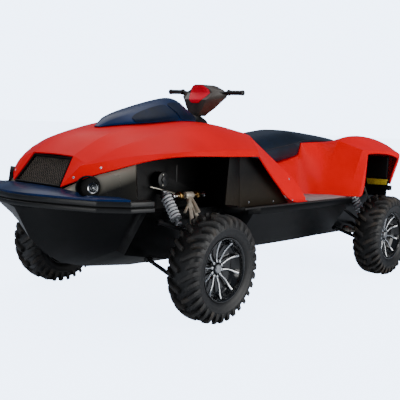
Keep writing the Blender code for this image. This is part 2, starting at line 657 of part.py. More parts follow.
def make_nacelle(finish):
    """Outer rings from the column's foot to the top: z, half width, front and back of the column."""
    rows = (
        (1.185, 0.058, 0.040, 0.040),
        (1.205, 0.086, 0.048, 0.042),
        (1.240, 0.128, 0.060, 0.045),
        (1.296, 0.176, 0.085, 0.045),
        (1.316, 0.196, 0.072, 0.042),
        (1.344, 0.196, 0.058, 0.038),
        (1.368, 0.150, 0.070, 0.030),
        (1.392, 0.085, 0.105, 0.010),
        (1.400, 0.050, 0.108, -0.030),
    )
    rings = []
    for z, half, ahead, behind in rows:
        x = column_x(z)
        rings.append([(x + ahead, half * 0.55, z), (x, half, z), (x - behind, half * 0.6, z),
                      (x - behind, -half * 0.6, z), (x, -half, z), (x + ahead, -half * 0.55, z)])
    return loft("nacelle", rings, finish)


def make_nacelle_pad(finish):
    """The soft red pad on the nacelle's front: z, height row, half width."""
    rows = (
        (1.272, 0.0743, 0.030), (1.296, 0.0850, 0.058), (1.316, 0.0720, 0.074), (1.344, 0.0580, 0.088),
        (1.368, 0.0700, 0.078), (1.392, 0.1050, 0.044),
    )
    rings = []
    for z, ahead, half in rows:
        x = column_x(z) + ahead
        rings.append([(x + 0.0008, half, z), (x + 0.009, half * 0.8, z), (x + 0.009, -half * 0.8, z), (x + 0.0008, -half, z)])
    return loft("nacelle_pad", rings, finish)


def strap(start, end, width, thickness, across):
    """A bare flat bar between two points, its width lying along across."""
    start, end, across = Vector(start), Vector(end), Vector(across)
    along = (end - start).normalized()
    across = (across - along * across.dot(along)).normalized() * width / 2
    up = along.cross(across).normalized() * thickness / 2
    rings = [[centre + across + up, centre - across + up, centre - across - up, centre + across - up]
             for centre in (start, end)]
    return loft("strap", rings, None)


def collar(centre, radius, length, sides=8):
    """A bare cylinder along X."""
    x, y, z = centre
    return rod((x - length / 2, y, z), (x + length / 2, y, z), radius, sides)


def leg_point(side, reach, share, pivot, tip):
    """A point on a wishbone's leg, from its outer tip at 0 to its pivot at 1."""
    pivot_y, pivot_z = pivot
    return Vector((
        FRONT_AXLE_X + reach * share,
        side * (KINGPIN_Y + (pivot_y - KINGPIN_Y) * share),
        tip + (pivot_z - tip) * share,
    ))


UPPER_TIP_Z = KINGPIN_TOP_Z + 0.013
LOWER_TIP_Z = KINGPIN_BOTTOM_Z - 0.013


def make_wishbone(name, side, finish, reach, pivot, tip_z, crossbar):
    low = (FRONT_AXLE_X, side * KINGPIN_Y, tip_z - 0.0125)
    high = (FRONT_AXLE_X, side * KINGPIN_Y, tip_z + 0.0125)
    pieces = [rod(low, high, 0.028, 16)]
    for end in (-1, 1):
        inner = leg_point(side, end * reach, 1, pivot, tip_z)
        knee = leg_point(side, end * reach, 0.18, pivot, tip_z)
        knee.z = tip_z
        pieces.append(tube([leg_point(side, end * reach, 0.0, (KINGPIN_Y, tip_z), tip_z), knee, inner], 0.0122, 6))
        pieces.append(collar(inner, 0.016, 0.044))
    if crossbar:
        ends = [leg_point(side, end * reach, 0.5, pivot, tip_z) for end in (-1, 1)]
        pieces.append(rod(*ends, 0.010, 8))
    return joined(name, pieces, finish)


def make_pivot_shaft(name, side, finish):
    y = side * PIVOT_Y
    pieces = [rod((PIVOT_ENDS[0], y, PIVOT_Z), (PIVOT_ENDS[1], y, PIVOT_Z), PIVOT_RADIUS)]
    for x in BUSH_X:
        pieces.append(collar((x, y, PIVOT_Z), 0.021, 0.016))
        pieces.append(collar((x, y, PIVOT_Z), 0.016, 0.030))
    for x in PIVOT_ENDS:
        inward = 0.006 if x == PIVOT_ENDS[0] else -0.006
        pieces.append(collar((x + inward, y, PIVOT_Z), 0.016, 0.010, 6))
    return joined(name, pieces, finish)


def make_lift_link(name, side, finish):
    """The plate link between the upper pivot shaft and the upper wishbone."""
    apex = Vector(((BUSH_X[0] + BUSH_X[1]) / 2, side * PIVOT_Y, PIVOT_Z))
    bar = leg_point(side, 0, 0.5, UPPER_PIVOT, UPPER_TIP_Z)
    front = Vector((0.870, bar.y, bar.z + 0.0227))
    back = leg_point(side, -UPPER_REACH, 0.76, UPPER_PIVOT, UPPER_TIP_Z) + Vector((0, 0, 0.0255))
    hub = collar(apex, 0.022, 0.070, 12)
    pieces = [hub]
    for foot in (front, back):
        pieces.append(strap(apex + (foot - apex) * 0.03, foot, 0.026, 0.010, (1, 0, 0)))
        pieces.append(collar(foot, 0.013, 0.018, 10))
    link = combine(pieces[0], pieces[1:], "UNION")
    cut(link, [collar(apex, PIVOT_RADIUS + 0.0010, 0.2)])
    return finished(link, name, finish)


def damper(name, top, foot, finish, coils=4, coil_radius=0.029, body_radius=0.016):
    """A coil-over damper: an eye at each end, a rod, a body, and the spring as a stack of turns."""
    top, foot = Vector(top), Vector(foot)
    length = (top - foot).length
    spring_low, spring_high = 0.20 * length, 0.86 * length
    profile = [(0.0005, 0.0), (0.008, 0.0), (0.008, spring_low - 0.010), (coil_radius, spring_low - 0.008)]
    pitch = (spring_high - spring_low) / coils
    for turn in range(coils):
        base = spring_low + turn * pitch
        profile += [(coil_radius, base), (coil_radius, base + 0.48 * pitch), (body_radius, base + 0.52 * pitch),
                    (body_radius, base + 0.98 * pitch)]
    profile += [(coil_radius, spring_high), (coil_radius, spring_high + 0.006), (body_radius, spring_high + 0.008),
                (body_radius, length), (0.0005, length)]
    barrel = turned("barrel", profile, None, 8, (0, 0, 0), "Z", closed=False)
    turn = (top - foot).to_track_quat("Z", "Y").to_matrix().to_4x4()
    barrel.data.transform(Matrix.Translation(foot) @ turn)
    return joined(name, [barrel, collar(foot, 0.0150, 0.026), collar(top, 0.0155, 0.026)], finish)


def make_knuckle(name, side, finish):
    """The steered upright with its spindle and steering arm. Its origin is on the kingpin."""
    x, y = FRONT_AXLE_X, side * KINGPIN_Y
    post = rod((x, y, KINGPIN_BOTTOM_Z), (x, y, KINGPIN_TOP_Z), 0.021, 14)
    spindle = rod((x, y, AXLE_Z), (x, side * (WHEEL_Y + 0.004), AXLE_Z), SPINDLE_RADIUS, 16)
    flange = rod((x, side * 0.587, AXLE_Z), (x, side * 0.599, AXLE_Z), 0.050, 16)
    tip = (x - STEERING_ARM, side * TIE_ROD_Y, TIE_ROD_Z - 0.0235)
    arm = strap((x, y, TIE_ROD_Z - 0.0235), tip, 0.030, 0.018, (0, 1, 0))
    eye = rod((tip[0], tip[1], tip[2] - 0.009), (tip[0], tip[1], tip[2] + 0.009), 0.019, 12)
    return joined(name, [post, spindle, flange, arm, eye], finish, (x, y, AXLE_Z))


def make_steering_rack(finish):
    x = FRONT_AXLE_X - STEERING_ARM
    pieces = [rod((x, -0.36, TIE_ROD_Z), (x, 0.36, TIE_ROD_Z), 0.016, 12),
              rod((x, -TIE_ROD_Y, TIE_ROD_Z), (x, TIE_ROD_Y, TIE_ROD_Z), 0.0085, 12)]
    for _, side in SIDES:
        y = side * TIE_ROD_Y
        pieces.append(rod((x, y, TIE_ROD_Z - 0.0140), (x, y, TIE_ROD_Z + 0.012), 0.0150, 12))
    return joined("steering_rack", pieces, finish, (x, 0, TIE_ROD_Z))


def make_rear_arm(name, side, finish):
    """The rear hub carrier and the wishbones that hold it to the hull."""
    x = REAR_AXLE_X
    y0, y1 = sorted((side * 0.540, side * 0.572))
    carrier = block((x - 0.042, y0, AXLE_Z - 0.075), (x + 0.042, y1, AXLE_Z + 0.075))
    pieces = [carrier]
    for end in (-1, 1):
        upper = Vector((x + end * 0.150, side * REAR_UPPER_PIVOT[0], REAR_UPPER_PIVOT[1]))
        lower = Vector((x + end * 0.165, side * REAR_LOWER_PIVOT[0], REAR_LOWER_PIVOT[1]))
        pieces.append(rod((x + end * 0.028, side * 0.555, AXLE_Z + 0.062), upper, 0.012, 8))
        pieces.append(rod((x + end * 0.028, side * 0.555, AXLE_Z - 0.062), lower, 0.013, 8))
        pieces.append(collar(upper, 0.016, 0.040))
        pieces.append(collar(lower, 0.016, 0.040))
    arm = combine(pieces[0], pieces[1:], "UNION")
    cut(arm, [rod((x, side * 0.50, AXLE_Z), (x, side * 0.60, AXLE_Z), BORE_RADIUS, 12)])
    return finished(arm, name, finish)


def make_half_shaft(name, side, finish):
    """The drive shaft with its boot. Profile: radius, distance from the middle of the vehicle."""
    profile = (
        (0.0005, 0.3600), (0.034, 0.3600), (0.036, 0.3900), (0.030, 0.4000), (0.032, 0.4100), (0.024, 0.4200),
        (0.026, 0.4300), (0.019, 0.4400), (SPINDLE_RADIUS, 0.4500), (SPINDLE_RADIUS, WHEEL_Y + 0.004),
        (0.0005, WHEEL_Y + 0.004),
    )
    made = turned(name, profile, finish, 16, (0, 0, 0), "Y", closed=False)
    if side < 0:
        made.data.transform(Matrix.Rotation(pi, 4, "Z"))
    made.location = (REAR_AXLE_X, 0, AXLE_Z)
    return made


def make_tyre(width, finish):
    """A ring of carcass sections with chevron lugs drawn out of every other face of its tread."""
    half = width / 2
    crown = TYRE_RADIUS - LUG_HEIGHT
    side_rows = (
        (BEAD_RADIUS + 0.0005, 0.0780), (RIM_RADIUS + 0.0008, 0.0780), (RIM_RADIUS + 0.0040, 0.0880),
        (0.2250, half), (0.2820, half - 0.005), (crown, half - 0.040), (crown, 0.012),
    )
    rows = [(radius, -along) for radius, along in side_rows] + [(radius, along) for radius, along in reversed(side_rows)]
    slant = 1.35 * 2 * pi / WHEEL_STEPS
    count = len(rows)
    points = []
    for step in range(WHEEL_STEPS):
        for radius, along in rows:
            lead = slant * (half - 0.040 - abs(along)) / (half - 0.052)
            angle = 2 * pi * step / WHEEL_STEPS + (lead if radius > 0.25 else 0)
            points.append((radius * cos(angle), along, radius * sin(angle)))
    faces = []
    for step in range(WHEEL_STEPS):
        after = (step + 1) % WHEEL_STEPS
        for i in range(count):
            j = (i + 1) % count
            faces.append((step * count + i, step * count + j, after * count + j, after * count + i))
    tyre = solid("tyre", points, faces, finish)
    work = bmesh.new()
    work.from_mesh(tyre.data)
    work.faces.ensure_lookup_table()
    lugs = []
    for step in range(WHEEL_STEPS):
        first = 4 if step % 2 else 7
        lugs += [work.faces[step * count + first], work.faces[step * count + first + 1]]
    made = bmesh.ops.extrude_face_region(work, geom=lugs)["geom"]
    bmesh.ops.delete(work, geom=lugs, context="FACES_KEEP_BOUNDARY")
    for vert in [item for item in made if isinstance(item, bmesh.types.BMVert)]:
        radius = hypot(vert.co.x, vert.co.z)
        rise = LUG_HEIGHT if radius > crown - 0.001 else 0.55 * LUG_HEIGHT
        vert.co.x *= 1 + rise / radius
        vert.co.z *= 1 + rise / radius
    bmesh.ops.recalc_face_normals(work, faces=work.faces)
    work.to_mesh(tyre.data)
    work.free()
    return tyre


def make_rim(finish):
    """Barrel, hub and ten dished spokes. Outboard is +Y."""
    barrel = turned("barrel", (
        (RIM_RADIUS, -0.0860), (RIM_RADIUS, -0.0785), (BEAD_RADIUS, -0.0785), (BEAD_RADIUS, 0.0785),
        (RIM_RADIUS, 0.0785), (RIM_RADIUS, 0.0860), (0.1700, 0.0860), (0.1600, 0.0640), (0.1600, -0.0860),
    ), None, WHEEL_STEPS, (0, 0, 0))
    hub = turned("hub", (
        (0.0010, 0.0080), (BORE_RADIUS, 0.0080), (BORE_RADIUS, -0.0500), (0.0440, -0.0500), (0.0440, 0.0300),
        (0.0320, 0.0420), (0.0010, 0.0420),
    ), None, 12, (0, 0, 0), "Y", closed=False)
    pieces = [hub]
    spokes = 10
    for i in range(spokes):
        angle = 2 * pi * (i + 0.5) / spokes
        ray = Vector((cos(angle), 0, sin(angle)))
        tangent = Vector((-sin(angle), 0, cos(angle)))
        inner, outer = ray * 0.036 + Vector((0, 0.020, 0)), ray * 0.167 + Vector((0, 0.052, 0))
        rings = []
        for centre, width in ((inner, 0.022), (outer, 0.015)):
            deep = Vector((0, 0.009, 0))
            wide = tangent * width / 2
            rings.append([centre + wide + deep, centre - wide + deep, centre - wide - deep, centre + wide - deep])
        pieces.append(loft("spoke", rings, None))
    return joined("rim", [*pieces, barrel], finish)


def make_wheels(finish):
    tyres = {"front": make_tyre(FRONT_TYRE_WIDTH, finish["black_rubber"]), "rear": make_tyre(REAR_TYRE_WIDTH, finish["black_rubber"])}
    rim = make_rim(finish["black_steel"])
    for end, x in (("front", FRONT_AXLE_X), ("rear", REAR_AXLE_X)):
        for name, side in SIDES:
            for kind, model in (("tyre", tyres[end]), ("rim", rim)):
                wheel = bpy.data.objects.new(f"{kind}_{end}_{name}", model.data)
                wheel.location = (x, side * WHEEL_Y, AXLE_Z)
                wheel.rotation_euler = (0, 0, 0 if side > 0 else pi)
                bpy.context.scene.collection.objects.link(wheel)
    for model in (*tyres.values(), rim):
        bpy.data.objects.remove(model, do_unlink=True)


def make_jet(finish):
    """The steered nozzle behind the pump, and the reverse bucket that hangs over it."""
    profile = (
        (0.066, -0.022), (0.060, -0.040), (0.048, -0.086), (0.042, -0.086), (0.054, -0.040), (0.058, -0.022),
    )
    nozzle = turned("cone", profile, None, 14, (0, 0, 0), "X")
    ears = []
    for end in (-1, 1):
        z0, z1 = sorted((end * 0.0630, end * 0.0795))
        ears.append(rod((0, 0, z0), (0, 0, z1), 0.012))
        ears.append(block((-0.036, -0.010, min(end * 0.0560, end * 0.0745)), (0.002, 0.010, max(end * 0.0560, end * 0.0745))))
        y0, y1 = sorted((end * 0.0500, end * 0.0662))
        ears.append(rod((BUCKET_PIVOT_X - NOZZLE_PIVOT_X, y0, 0), (BUCKET_PIVOT_X - NOZZLE_PIVOT_X, y1, 0), 0.012))
    combine(nozzle, ears, "UNION")
    nozzle.data.transform(Matrix.Translation((NOZZLE_PIVOT_X, 0, JET_Z)))
    finished(nozzle, "jet_nozzle", finish["aluminium"], (NOZZLE_PIVOT_X, 0, JET_Z))
    rings = []
    for y in (-0.0725, 0.0725):
        ring = []
        for radius, angles in ((0.091, range(84, 133, 8)), (0.085, range(132, 83, -8))):
            for angle in angles:
                ring.append((BUCKET_PIVOT_X + radius * cos(radians(angle)), y, JET_Z + radius * sin(radians(angle))))
        rings.append(ring)
    scoop = loft("scoop", rings, None)
    arms = []
    for end in (-1, 1):
        y0, y1 = sorted((end * 0.0670, end * 0.0725))
        arms.append(block((BUCKET_PIVOT_X - 0.013, y0, JET_Z - 0.013), (BUCKET_PIVOT_X + 0.010, y1, JET_Z + 0.088)))
    joined("reverse_bucket", [scoop, *arms], finish["black_steel"], (BUCKET_PIVOT_X, 0, JET_Z))


def make_tail_lamp(name, side, finish):
    """A lens lying on the raked stern panel."""
    top, foot = Vector((-1.815, 0, 0.880)), Vector((-1.740, 0, 0.700))
    along = foot - top
    out = Vector((-0.180, 0, -0.075)).normalized()
    rings = []
    for y in (0.110, 0.235):
        face = [top + along * 0.18, top + along * 0.52]
        rings.append([point + out * depth + Vector((0, y * side, 0)) for depth, point in
                      ((0.0006, face[0]), (0.0006, face[1]), (0.0120, face[1]), (0.0120, face[0]))])
    return loft(name, rings, finish)


def build():
    clear_scene()
    finish = finishes()
    make_hull(finish["black_hull"])
    make_engine(finish["steel"])
    make_bow_lip(finish["black_rubber"])
    make_bow_deck(finish["navy_gloss"])
    make_front_body(finish["red_gel_coat"])
    make_grille(finish["grey_plastic"])
    make_front_frame(finish["black_steel"])
    make_rear_body(finish["red_gel_coat"])
    make_seat(finish["navy_gloss"])
    make_cowl(finish["navy_gloss"])
    make_console(finish["grey_plastic"])
    make_handlebar(finish)
    make_nacelle_pad(finish["red_gel_coat"])
    make_steering_rack(finish["steel"])
    make_wheels(finish)
    make_jet(finish)
    for name, side in SIDES:
        make_lamp_fairing(f"lamp_fairing_{name}", side, finish["olive_metal"])
        make_headlamp(f"headlamp_{name}", side, finish["lamp_glass"])
        make_side_panel(f"side_panel_{name}", side, finish["grey_plastic"])
        make_footboard(f"footboard_{name}", side, finish["mat_grey"])
        make_arch_liner(f"arch_liner_{name}", side, finish["black_hull"])
        make_tail_lamp(f"tail_lamp_{name}", side, finish["red_gel_coat"])
        make_wishbone(f"upper_wishbone_{name}", side, finish["black_steel"], UPPER_REACH, UPPER_PIVOT, UPPER_TIP_Z, True)
        make_wishbone(f"lower_wishbone_{name}", side, finish["black_steel"], LOWER_REACH, LOWER_PIVOT, LOWER_TIP_Z, False)
        make_pivot_shaft(f"pivot_shaft_{name}", side, finish["brass"])
        make_lift_link(f"lift_link_{name}", side, finish["steel"])
        make_knuckle(f"knuckle_{name}", side, finish["black_steel"])
        make_rear_arm(f"rear_arm_{name}", side, finish["black_steel"])
        make_half_shaft(f"half_shaft_{name}", side, finish["steel"])
        top, foot = (Vector((point.x, point.y * side, point.z)) for point in (SHOCK_TOP, SHOCK_FOOT))
        damper(f"front_damper_{name}", top, foot, finish["aluminium"])
        top, foot = (Vector((point.x, point.y * side, point.z)) for point in (REAR_SHOCK_TOP, REAR_SHOCK_FOOT))
        damper(f"rear_damper_{name}", top, foot, finish["black_steel"], 5)


build()
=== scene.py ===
"""Looks of an amphibious all-terrain vehicle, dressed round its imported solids.

Metres, +X forward, +Y to the vehicle's left, +Z up. Each piece's place is in its mesh.
"""

from math import cos, pi, radians, sin

import bmesh
import bpy
from mathutils import Matrix, Vector


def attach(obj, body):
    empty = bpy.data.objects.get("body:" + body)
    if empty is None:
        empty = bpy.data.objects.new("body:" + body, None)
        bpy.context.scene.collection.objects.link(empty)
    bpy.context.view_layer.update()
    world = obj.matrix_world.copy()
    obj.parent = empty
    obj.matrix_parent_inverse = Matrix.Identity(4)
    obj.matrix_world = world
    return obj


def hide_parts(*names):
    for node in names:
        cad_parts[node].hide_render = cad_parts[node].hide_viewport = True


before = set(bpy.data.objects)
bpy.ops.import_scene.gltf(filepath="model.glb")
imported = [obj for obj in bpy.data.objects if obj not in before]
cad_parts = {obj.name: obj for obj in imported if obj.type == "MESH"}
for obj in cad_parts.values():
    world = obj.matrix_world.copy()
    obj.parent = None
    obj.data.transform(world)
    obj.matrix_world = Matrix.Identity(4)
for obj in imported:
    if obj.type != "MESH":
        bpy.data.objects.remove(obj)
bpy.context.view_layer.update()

# Sizes shared with the solids
FRONT_AXLE_X = 0.91
REAR_AXLE_X = -1.23
AXLE_Z = 0.3175
WHEEL_Y = 0.695
SKIN = 0.008
# Points nearer than this are one, in a mesh and where a panel's patches meet
WELD = 0.00001
PANEL_WELD = 0.0001
# Panels shade smooth across edges softer than this
FACET_ANGLE = 7
SIDES = (("left", 1), ("right", -1))


# Modelling helpers

def deselect():
    if bpy.context.mode != "OBJECT":
        bpy.ops.object.mode_set(mode="OBJECT")
    bpy.ops.object.select_all(action="DESELECT")


def active(item):
    """Makes one object the only selected one."""
    deselect()
    item.select_set(True)
    bpy.context.view_layer.objects.active = item
    return item


def started(name):
    """Names the primitive that was just added and clears its transform into its mesh."""
    item = bpy.context.object
    item.name = name
    item.data.name = name
    bpy.ops.object.transform_apply(location=True, rotation=True, scale=True)
    return item


def applied(item):
    active(item)
    for modifier in list(item.modifiers):
        bpy.ops.object.modifier_apply(modifier=modifier.name)
    return item


def edit(item, everything=True):
    active(item)
    bpy.ops.object.mode_set(mode="EDIT")
    bpy.ops.mesh.select_all(action="SELECT" if everything else "DESELECT")


def done(item, weld=WELD, outward=True):
    """Leaves edit mode with doubles merged and faces pointing out."""
    bpy.ops.mesh.select_all(action="SELECT")
    bpy.ops.mesh.remove_doubles(threshold=weld)
    if outward:
        bpy.ops.mesh.normals_make_consistent(inside=False)
    bpy.ops.object.mode_set(mode="OBJECT")
    return item


def smoothed(item, angle=35):
    active(item)
    bpy.ops.object.shade_smooth_by_angle(angle=radians(angle))
    return item


def rounded(item, width, segments=2, angle=30):
    """Bevels the sharp edges."""
    bevel = item.modifiers.new("edges", "BEVEL")
    bevel.width = width
    bevel.segments = segments
    bevel.limit_method = "ANGLE"
    bevel.angle_limit = radians(angle)
    applied(item)
    return smoothed(item)


def subdivided(item, levels):
    soft = item.modifiers.new("soft", "SUBSURF")
    soft.levels = levels
    soft.render_levels = levels
    return applied(item)


def thickened(item, thickness, offset=-1):
    skin = item.modifiers.new("skin", "SOLIDIFY")
    skin.thickness = thickness
    skin.offset = offset
    skin.use_even_offset = False
    return applied(item)


def joined(name, pieces):
    """Several objects as one mesh."""
    deselect()
    for piece in pieces:
        piece.select_set(True)
    bpy.context.view_layer.objects.active = pieces[0]
    if len(pieces) > 1:
        bpy.ops.object.join()
    pieces[0].name = name
    pieces[0].data.name = name
    return pieces[0]


def copied(item, matrix, name=None):
    """A copy with its own mesh, moved in its mesh. A mirrored copy has its faces turned back."""
    twin = item.copy()
    twin.data = item.data.copy()
    bpy.context.scene.collection.objects.link(twin)
    twin.data.transform(matrix)
    if matrix.determinant() < 0:
        twin.data.flip_normals()
    if name:
        twin.name = name
        twin.data.name = name
    return twin


MIRROR_Y = Matrix.Scale(-1, 4, (0, 1, 0))


def both_sides(item):
    """The piece on the left, with its mirror image on the right in the same mesh."""
    return joined(item.name, [item, copied(item, MIRROR_Y)])


def sheet_through(name, rows):
    """A grid whose vertices are placed on rows of points."""
    deselect()
    across, along = len(rows[0]), len(rows)
    bpy.ops.mesh.primitive_grid_add(x_subdivisions=across - 1, y_subdivisions=along - 1, size=1)
    item = started(name)
    for index, vertex in enumerate(item.data.vertices):
        vertex.co = rows[index // across][index % across]
    return item


def extruded(name, rings):
    """A closed bar: one face drawn out through rings of points."""
    deselect()
    count = len(rings[0])
    bpy.ops.mesh.primitive_circle_add(vertices=count, radius=1, fill_type="NGON")
    item = started(name)
    for vertex, point in zip(item.data.vertices, rings[0]):
        vertex.co = point
    bpy.ops.object.mode_set(mode="EDIT")
    bpy.ops.mesh.select_all(action="SELECT")
    for before, after in zip(rings, rings[1:]):
        bpy.ops.mesh.extrude_region_move()
        work = bmesh.from_edit_mesh(item.data)
        for vertex in work.verts:
            if vertex.select:
                near = min(range(count), key=lambda i: (Vector(before[i]) - vertex.co).length)
                vertex.co = after[near]
        bmesh.update_edit_mesh(item.data)
    return done(item)


def turned(name, profile, steps, axis=(0, 1, 0)):
    """A line of (radius, distance along the axis) drawn by extruding a vertex, then spun round the axis."""
    deselect()
    aim = Vector(axis).normalized()
    out = Vector((1, 0, 0)) if abs(aim.x) < 0.9 else Vector((0, 0, 1))
    out = (out - aim * out.dot(aim)).normalized()
    points = [out * radius + aim * along for radius, along in profile]
    bpy.ops.mesh.primitive_plane_add(size=0.001)
    item = started(name)
    bpy.ops.object.mode_set(mode="EDIT")
    bpy.ops.mesh.select_all(action="SELECT")
    bpy.ops.mesh.merge(type="CENTER")
    bpy.ops.transform.translate(value=points[0])
    for before, after in zip(points, points[1:]):
        bpy.ops.mesh.extrude_region_move(TRANSFORM_OT_translate={"value": after - before})
    bpy.ops.mesh.select_all(action="SELECT")
    bpy.ops.mesh.spin(steps=steps, angle=2 * pi, center=(0, 0, 0), axis=aim, use_auto_merge=False)
    return done(item)


def box(name, low, high, bevel=0.0, segments=2):
    """A block between two corners with softened edges."""
    deselect()
    low, high = Vector(low), Vector(high)
    bpy.ops.mesh.primitive_cube_add(size=1, location=(low + high) / 2)
    bpy.context.object.scale = [abs(size) for size in high - low]
    item = started(name)
    return rounded(item, bevel, segments) if bevel else item


def plate(name, outline, depth, bevel=0.0):
    """A flat plate: an outline filled with one face and drawn out by a depth."""
    deselect()
    bpy.ops.mesh.primitive_circle_add(vertices=len(outline), radius=1, fill_type="NGON")
    item = started(name)
    for vertex, point in zip(item.data.vertices, outline):
        vertex.co = point
    edit(item)
    bpy.ops.mesh.extrude_region_move(TRANSFORM_OT_translate={"value": depth})
    done(item)
    return rounded(item, bevel, 2) if bevel else item


def round_bar(name, start, end, radius, sides=20, bevel=0.0):
    """A cylinder between two points, its ends chamfered when a bevel is given."""
    deselect()
    start, end = Vector(start), Vector(end)
    run = end - start
    middle = (start + end) / 2
    bpy.ops.mesh.primitive_cylinder_add(vertices=sides, radius=radius, depth=run.length, location=middle)
    bpy.context.object.rotation_mode = "QUATERNION"
    bpy.context.object.rotation_quaternion = run.to_track_quat("Z", "Y")
    item = started(name)
    return rounded(item, bevel, 2, 40) if bevel else smoothed(item)


def pipe(name, points, radius, sides=12, cyclic=False, smooth_path=False):
    """A round bar along a path, filled at its ends."""
    deselect()
    curve = bpy.data.curves.new(name, "CURVE")
    curve.dimensions = "3D"
    line = curve.splines.new("NURBS" if smooth_path else "POLY")
    line.points.add(len(points) - 1)
    for knot, point in zip(line.points, points):
        knot.co = (*point, 1)
    line.use_cyclic_u = cyclic
    if smooth_path:
        line.order_u = 4
        line.use_endpoint_u = not cyclic
        line.resolution_u = 6
    curve.bevel_depth = radius
    curve.bevel_resolution = max(0, sides // 4 - 1)
    curve.use_fill_caps = True
    item = bpy.data.objects.new(name, curve)
    bpy.context.scene.collection.objects.link(item)
    active(item)
    bpy.ops.object.convert(target="MESH")
    item = bpy.context.object
    edit(item)
    done(item)
    return smoothed(item)


def creased(item, lines, points, value):
    """Marks edges between neighbouring named points as creases, and their mirror images."""
    work = bmesh.new()
    work.from_mesh(item.data)
    layer = work.edges.layers.float.get("crease_edge") or work.edges.layers.float.new("crease_edge")
    wanted = set()
    for line in lines:
        names = line.split()
        for first, second in zip(names, names[1:]):
            ends = [tuple(round(value, 4) for value in points[key]) for key in (first, second)]
            wanted.add(frozenset(ends))
    for edge in work.edges:
        ends = frozenset((round(v.co.x, 4), round(abs(v.co.y), 4), round(v.co.z, 4)) for v in edge.verts)
        if ends in wanted:
            edge[layer] = value
    work.to_mesh(item.data)
    work.free()


def panel(name, points, patches, creases, levels=3, thickness=SKIN):
    """A moulded panel: patches of named points welded, mirrored, creased, subdivided and thickened."""
    sheets = []
    for patch in patches:
        rows = [[points[key] for key in row.split()] for row in patch]
        sheets.append(sheet_through(name, rows))
    item = joined(name, sheets)
    edit(item)
    done(item, PANEL_WELD)
    mirror = item.modifiers.new("mirror", "MIRROR")
    mirror.use_axis = (False, True, False)
    mirror.merge_threshold = PANEL_WELD
    applied(item)
    edit(item)
    done(item, PANEL_WELD)
    for value, lines in creases.items():
        creased(item, lines, points, value)
    subdivided(item, levels)
    if thickness:
        thickened(item, thickness)
    return smoothed(item, FACET_ANGLE)


# Materials

def linear(code):
    """A linear colour from an sRGB hex code."""
    values = [int(code[i:i + 2], 16) / 255 for i in (0, 2, 4)]
    return (*[v / 12.92 if v <= 0.04045 else ((v + 0.055) / 1.055) ** 2.4 for v in values], 1)


def add(tree, kind, inputs=None, **settings):
    """A shader node with its settings. Each input is a value, or a socket to link from."""
    node = tree.nodes.new("ShaderNode" + kind)
    for name, value in settings.items():
        setattr(node, name, value)
    for name, value in (inputs or {}).items():
        if isinstance(value, bpy.types.NodeSocket):
            tree.links.new(value, node.inputs[name])
        else:
            node.inputs[name].default_value = value
    return node


def surface(name, slot, tones, roughness, patch_mm, grain_mm, relief_mm, metallic=0.0, sheen=0.5, **values):
    """Two tones in soft patches that also move the roughness, and a fine grain that moves the relief."""
    made = bpy.data.materials.new(name)
    made.use_nodes = True
    tree = made.node_tree
    shader = tree.nodes["Principled BSDF"]
    place = add(tree, "TexCoord").outputs["Object"]
    patches = add(tree, "TexNoise", {"Vector": place, "Scale": 1000 / patch_mm, "Detail": 4.0})
    ramp = add(tree, "ValToRGB", {"Fac": patches.outputs["Fac"]})
    for element, tone, position in zip(ramp.color_ramp.elements, tones, (0.35, 0.65)):
        element.color = linear(tone)
        element.position = position
    grain = add(tree, "TexNoise", {"Vector": place, "Scale": 1000 / grain_mm, "Detail": 2.0})
    low, high = roughness
    gloss = add(tree, "MapRange", {"Value": patches.outputs["Fac"], "To Min": low, "To Max": high})
    relief = add(tree, "Bump", {"Height": grain.outputs["Fac"], "Distance": relief_mm / 1000})
    tree.links.new(ramp.outputs["Color"], shader.inputs["Base Color"])
    tree.links.new(gloss.outputs["Result"], shader.inputs["Roughness"])
    tree.links.new(relief.outputs["Normal"], shader.inputs["Normal"])
    shader.inputs["Metallic"].default_value = metallic
    shader.inputs["Specular IOR Level"].default_value = sheen
    for key, value in values.items():
        shader.inputs[key.replace("_", " ").title().replace("Ior", "IOR")].default_value = value
    return made


def placed_tree(made):
    """A material's tree, with a socket that gives the place on the piece."""
    tree = made.node_tree
    return tree, add(tree, "TexCoord").outputs["Object"]


def tinted(made, share, tint):
    """Lays a second colour over a material, by the share that a socket gives."""
    tree = made.node_tree
    colour = tree.nodes["Principled BSDF"].inputs["Base Color"]
    mix = add(tree, "Mix", {"Factor": share}, data_type="RGBA")
    tree.links.new(colour.links[0].from_socket, mix.inputs[6])
    mix.inputs[7].default_value = linear(tint)
    tree.links.new(mix.outputs[2], colour)
    return made


def embossed(made, pattern, depth_mm):
    """Presses a pattern into a material in place of its grain."""
    tree = made.node_tree
    relief = add(tree, "Bump", {"Height": pattern, "Distance": depth_mm / 1000})
    tree.links.new(relief.outputs["Normal"], tree.nodes["Principled BSDF"].inputs["Normal"])
    return made


# The shares of a cloud pattern between which dust thickens
DUST_THIN = 0.62
DUST_THICK = 0.75


def dusted(made, dust_and_highlight, amount, patch_mm):
    """Dry dust that lies in patches."""
    tree, place = placed_tree(made)
    cloud = add(tree, "TexNoise", {"Vector": place, "Scale": 1000 / patch_mm, "Detail": 6.0})
    dust_and_highlight_share = add(tree, "MapRange", {
        "Value": cloud.outputs["Fac"], "From Min": DUST_THIN - 0.3 * amount, "From Max": DUST_THICK,
        "To Max": amount,
    })
    return tinted(made, dust_and_highlight_share.outputs["Result"], dust_and_highlight)


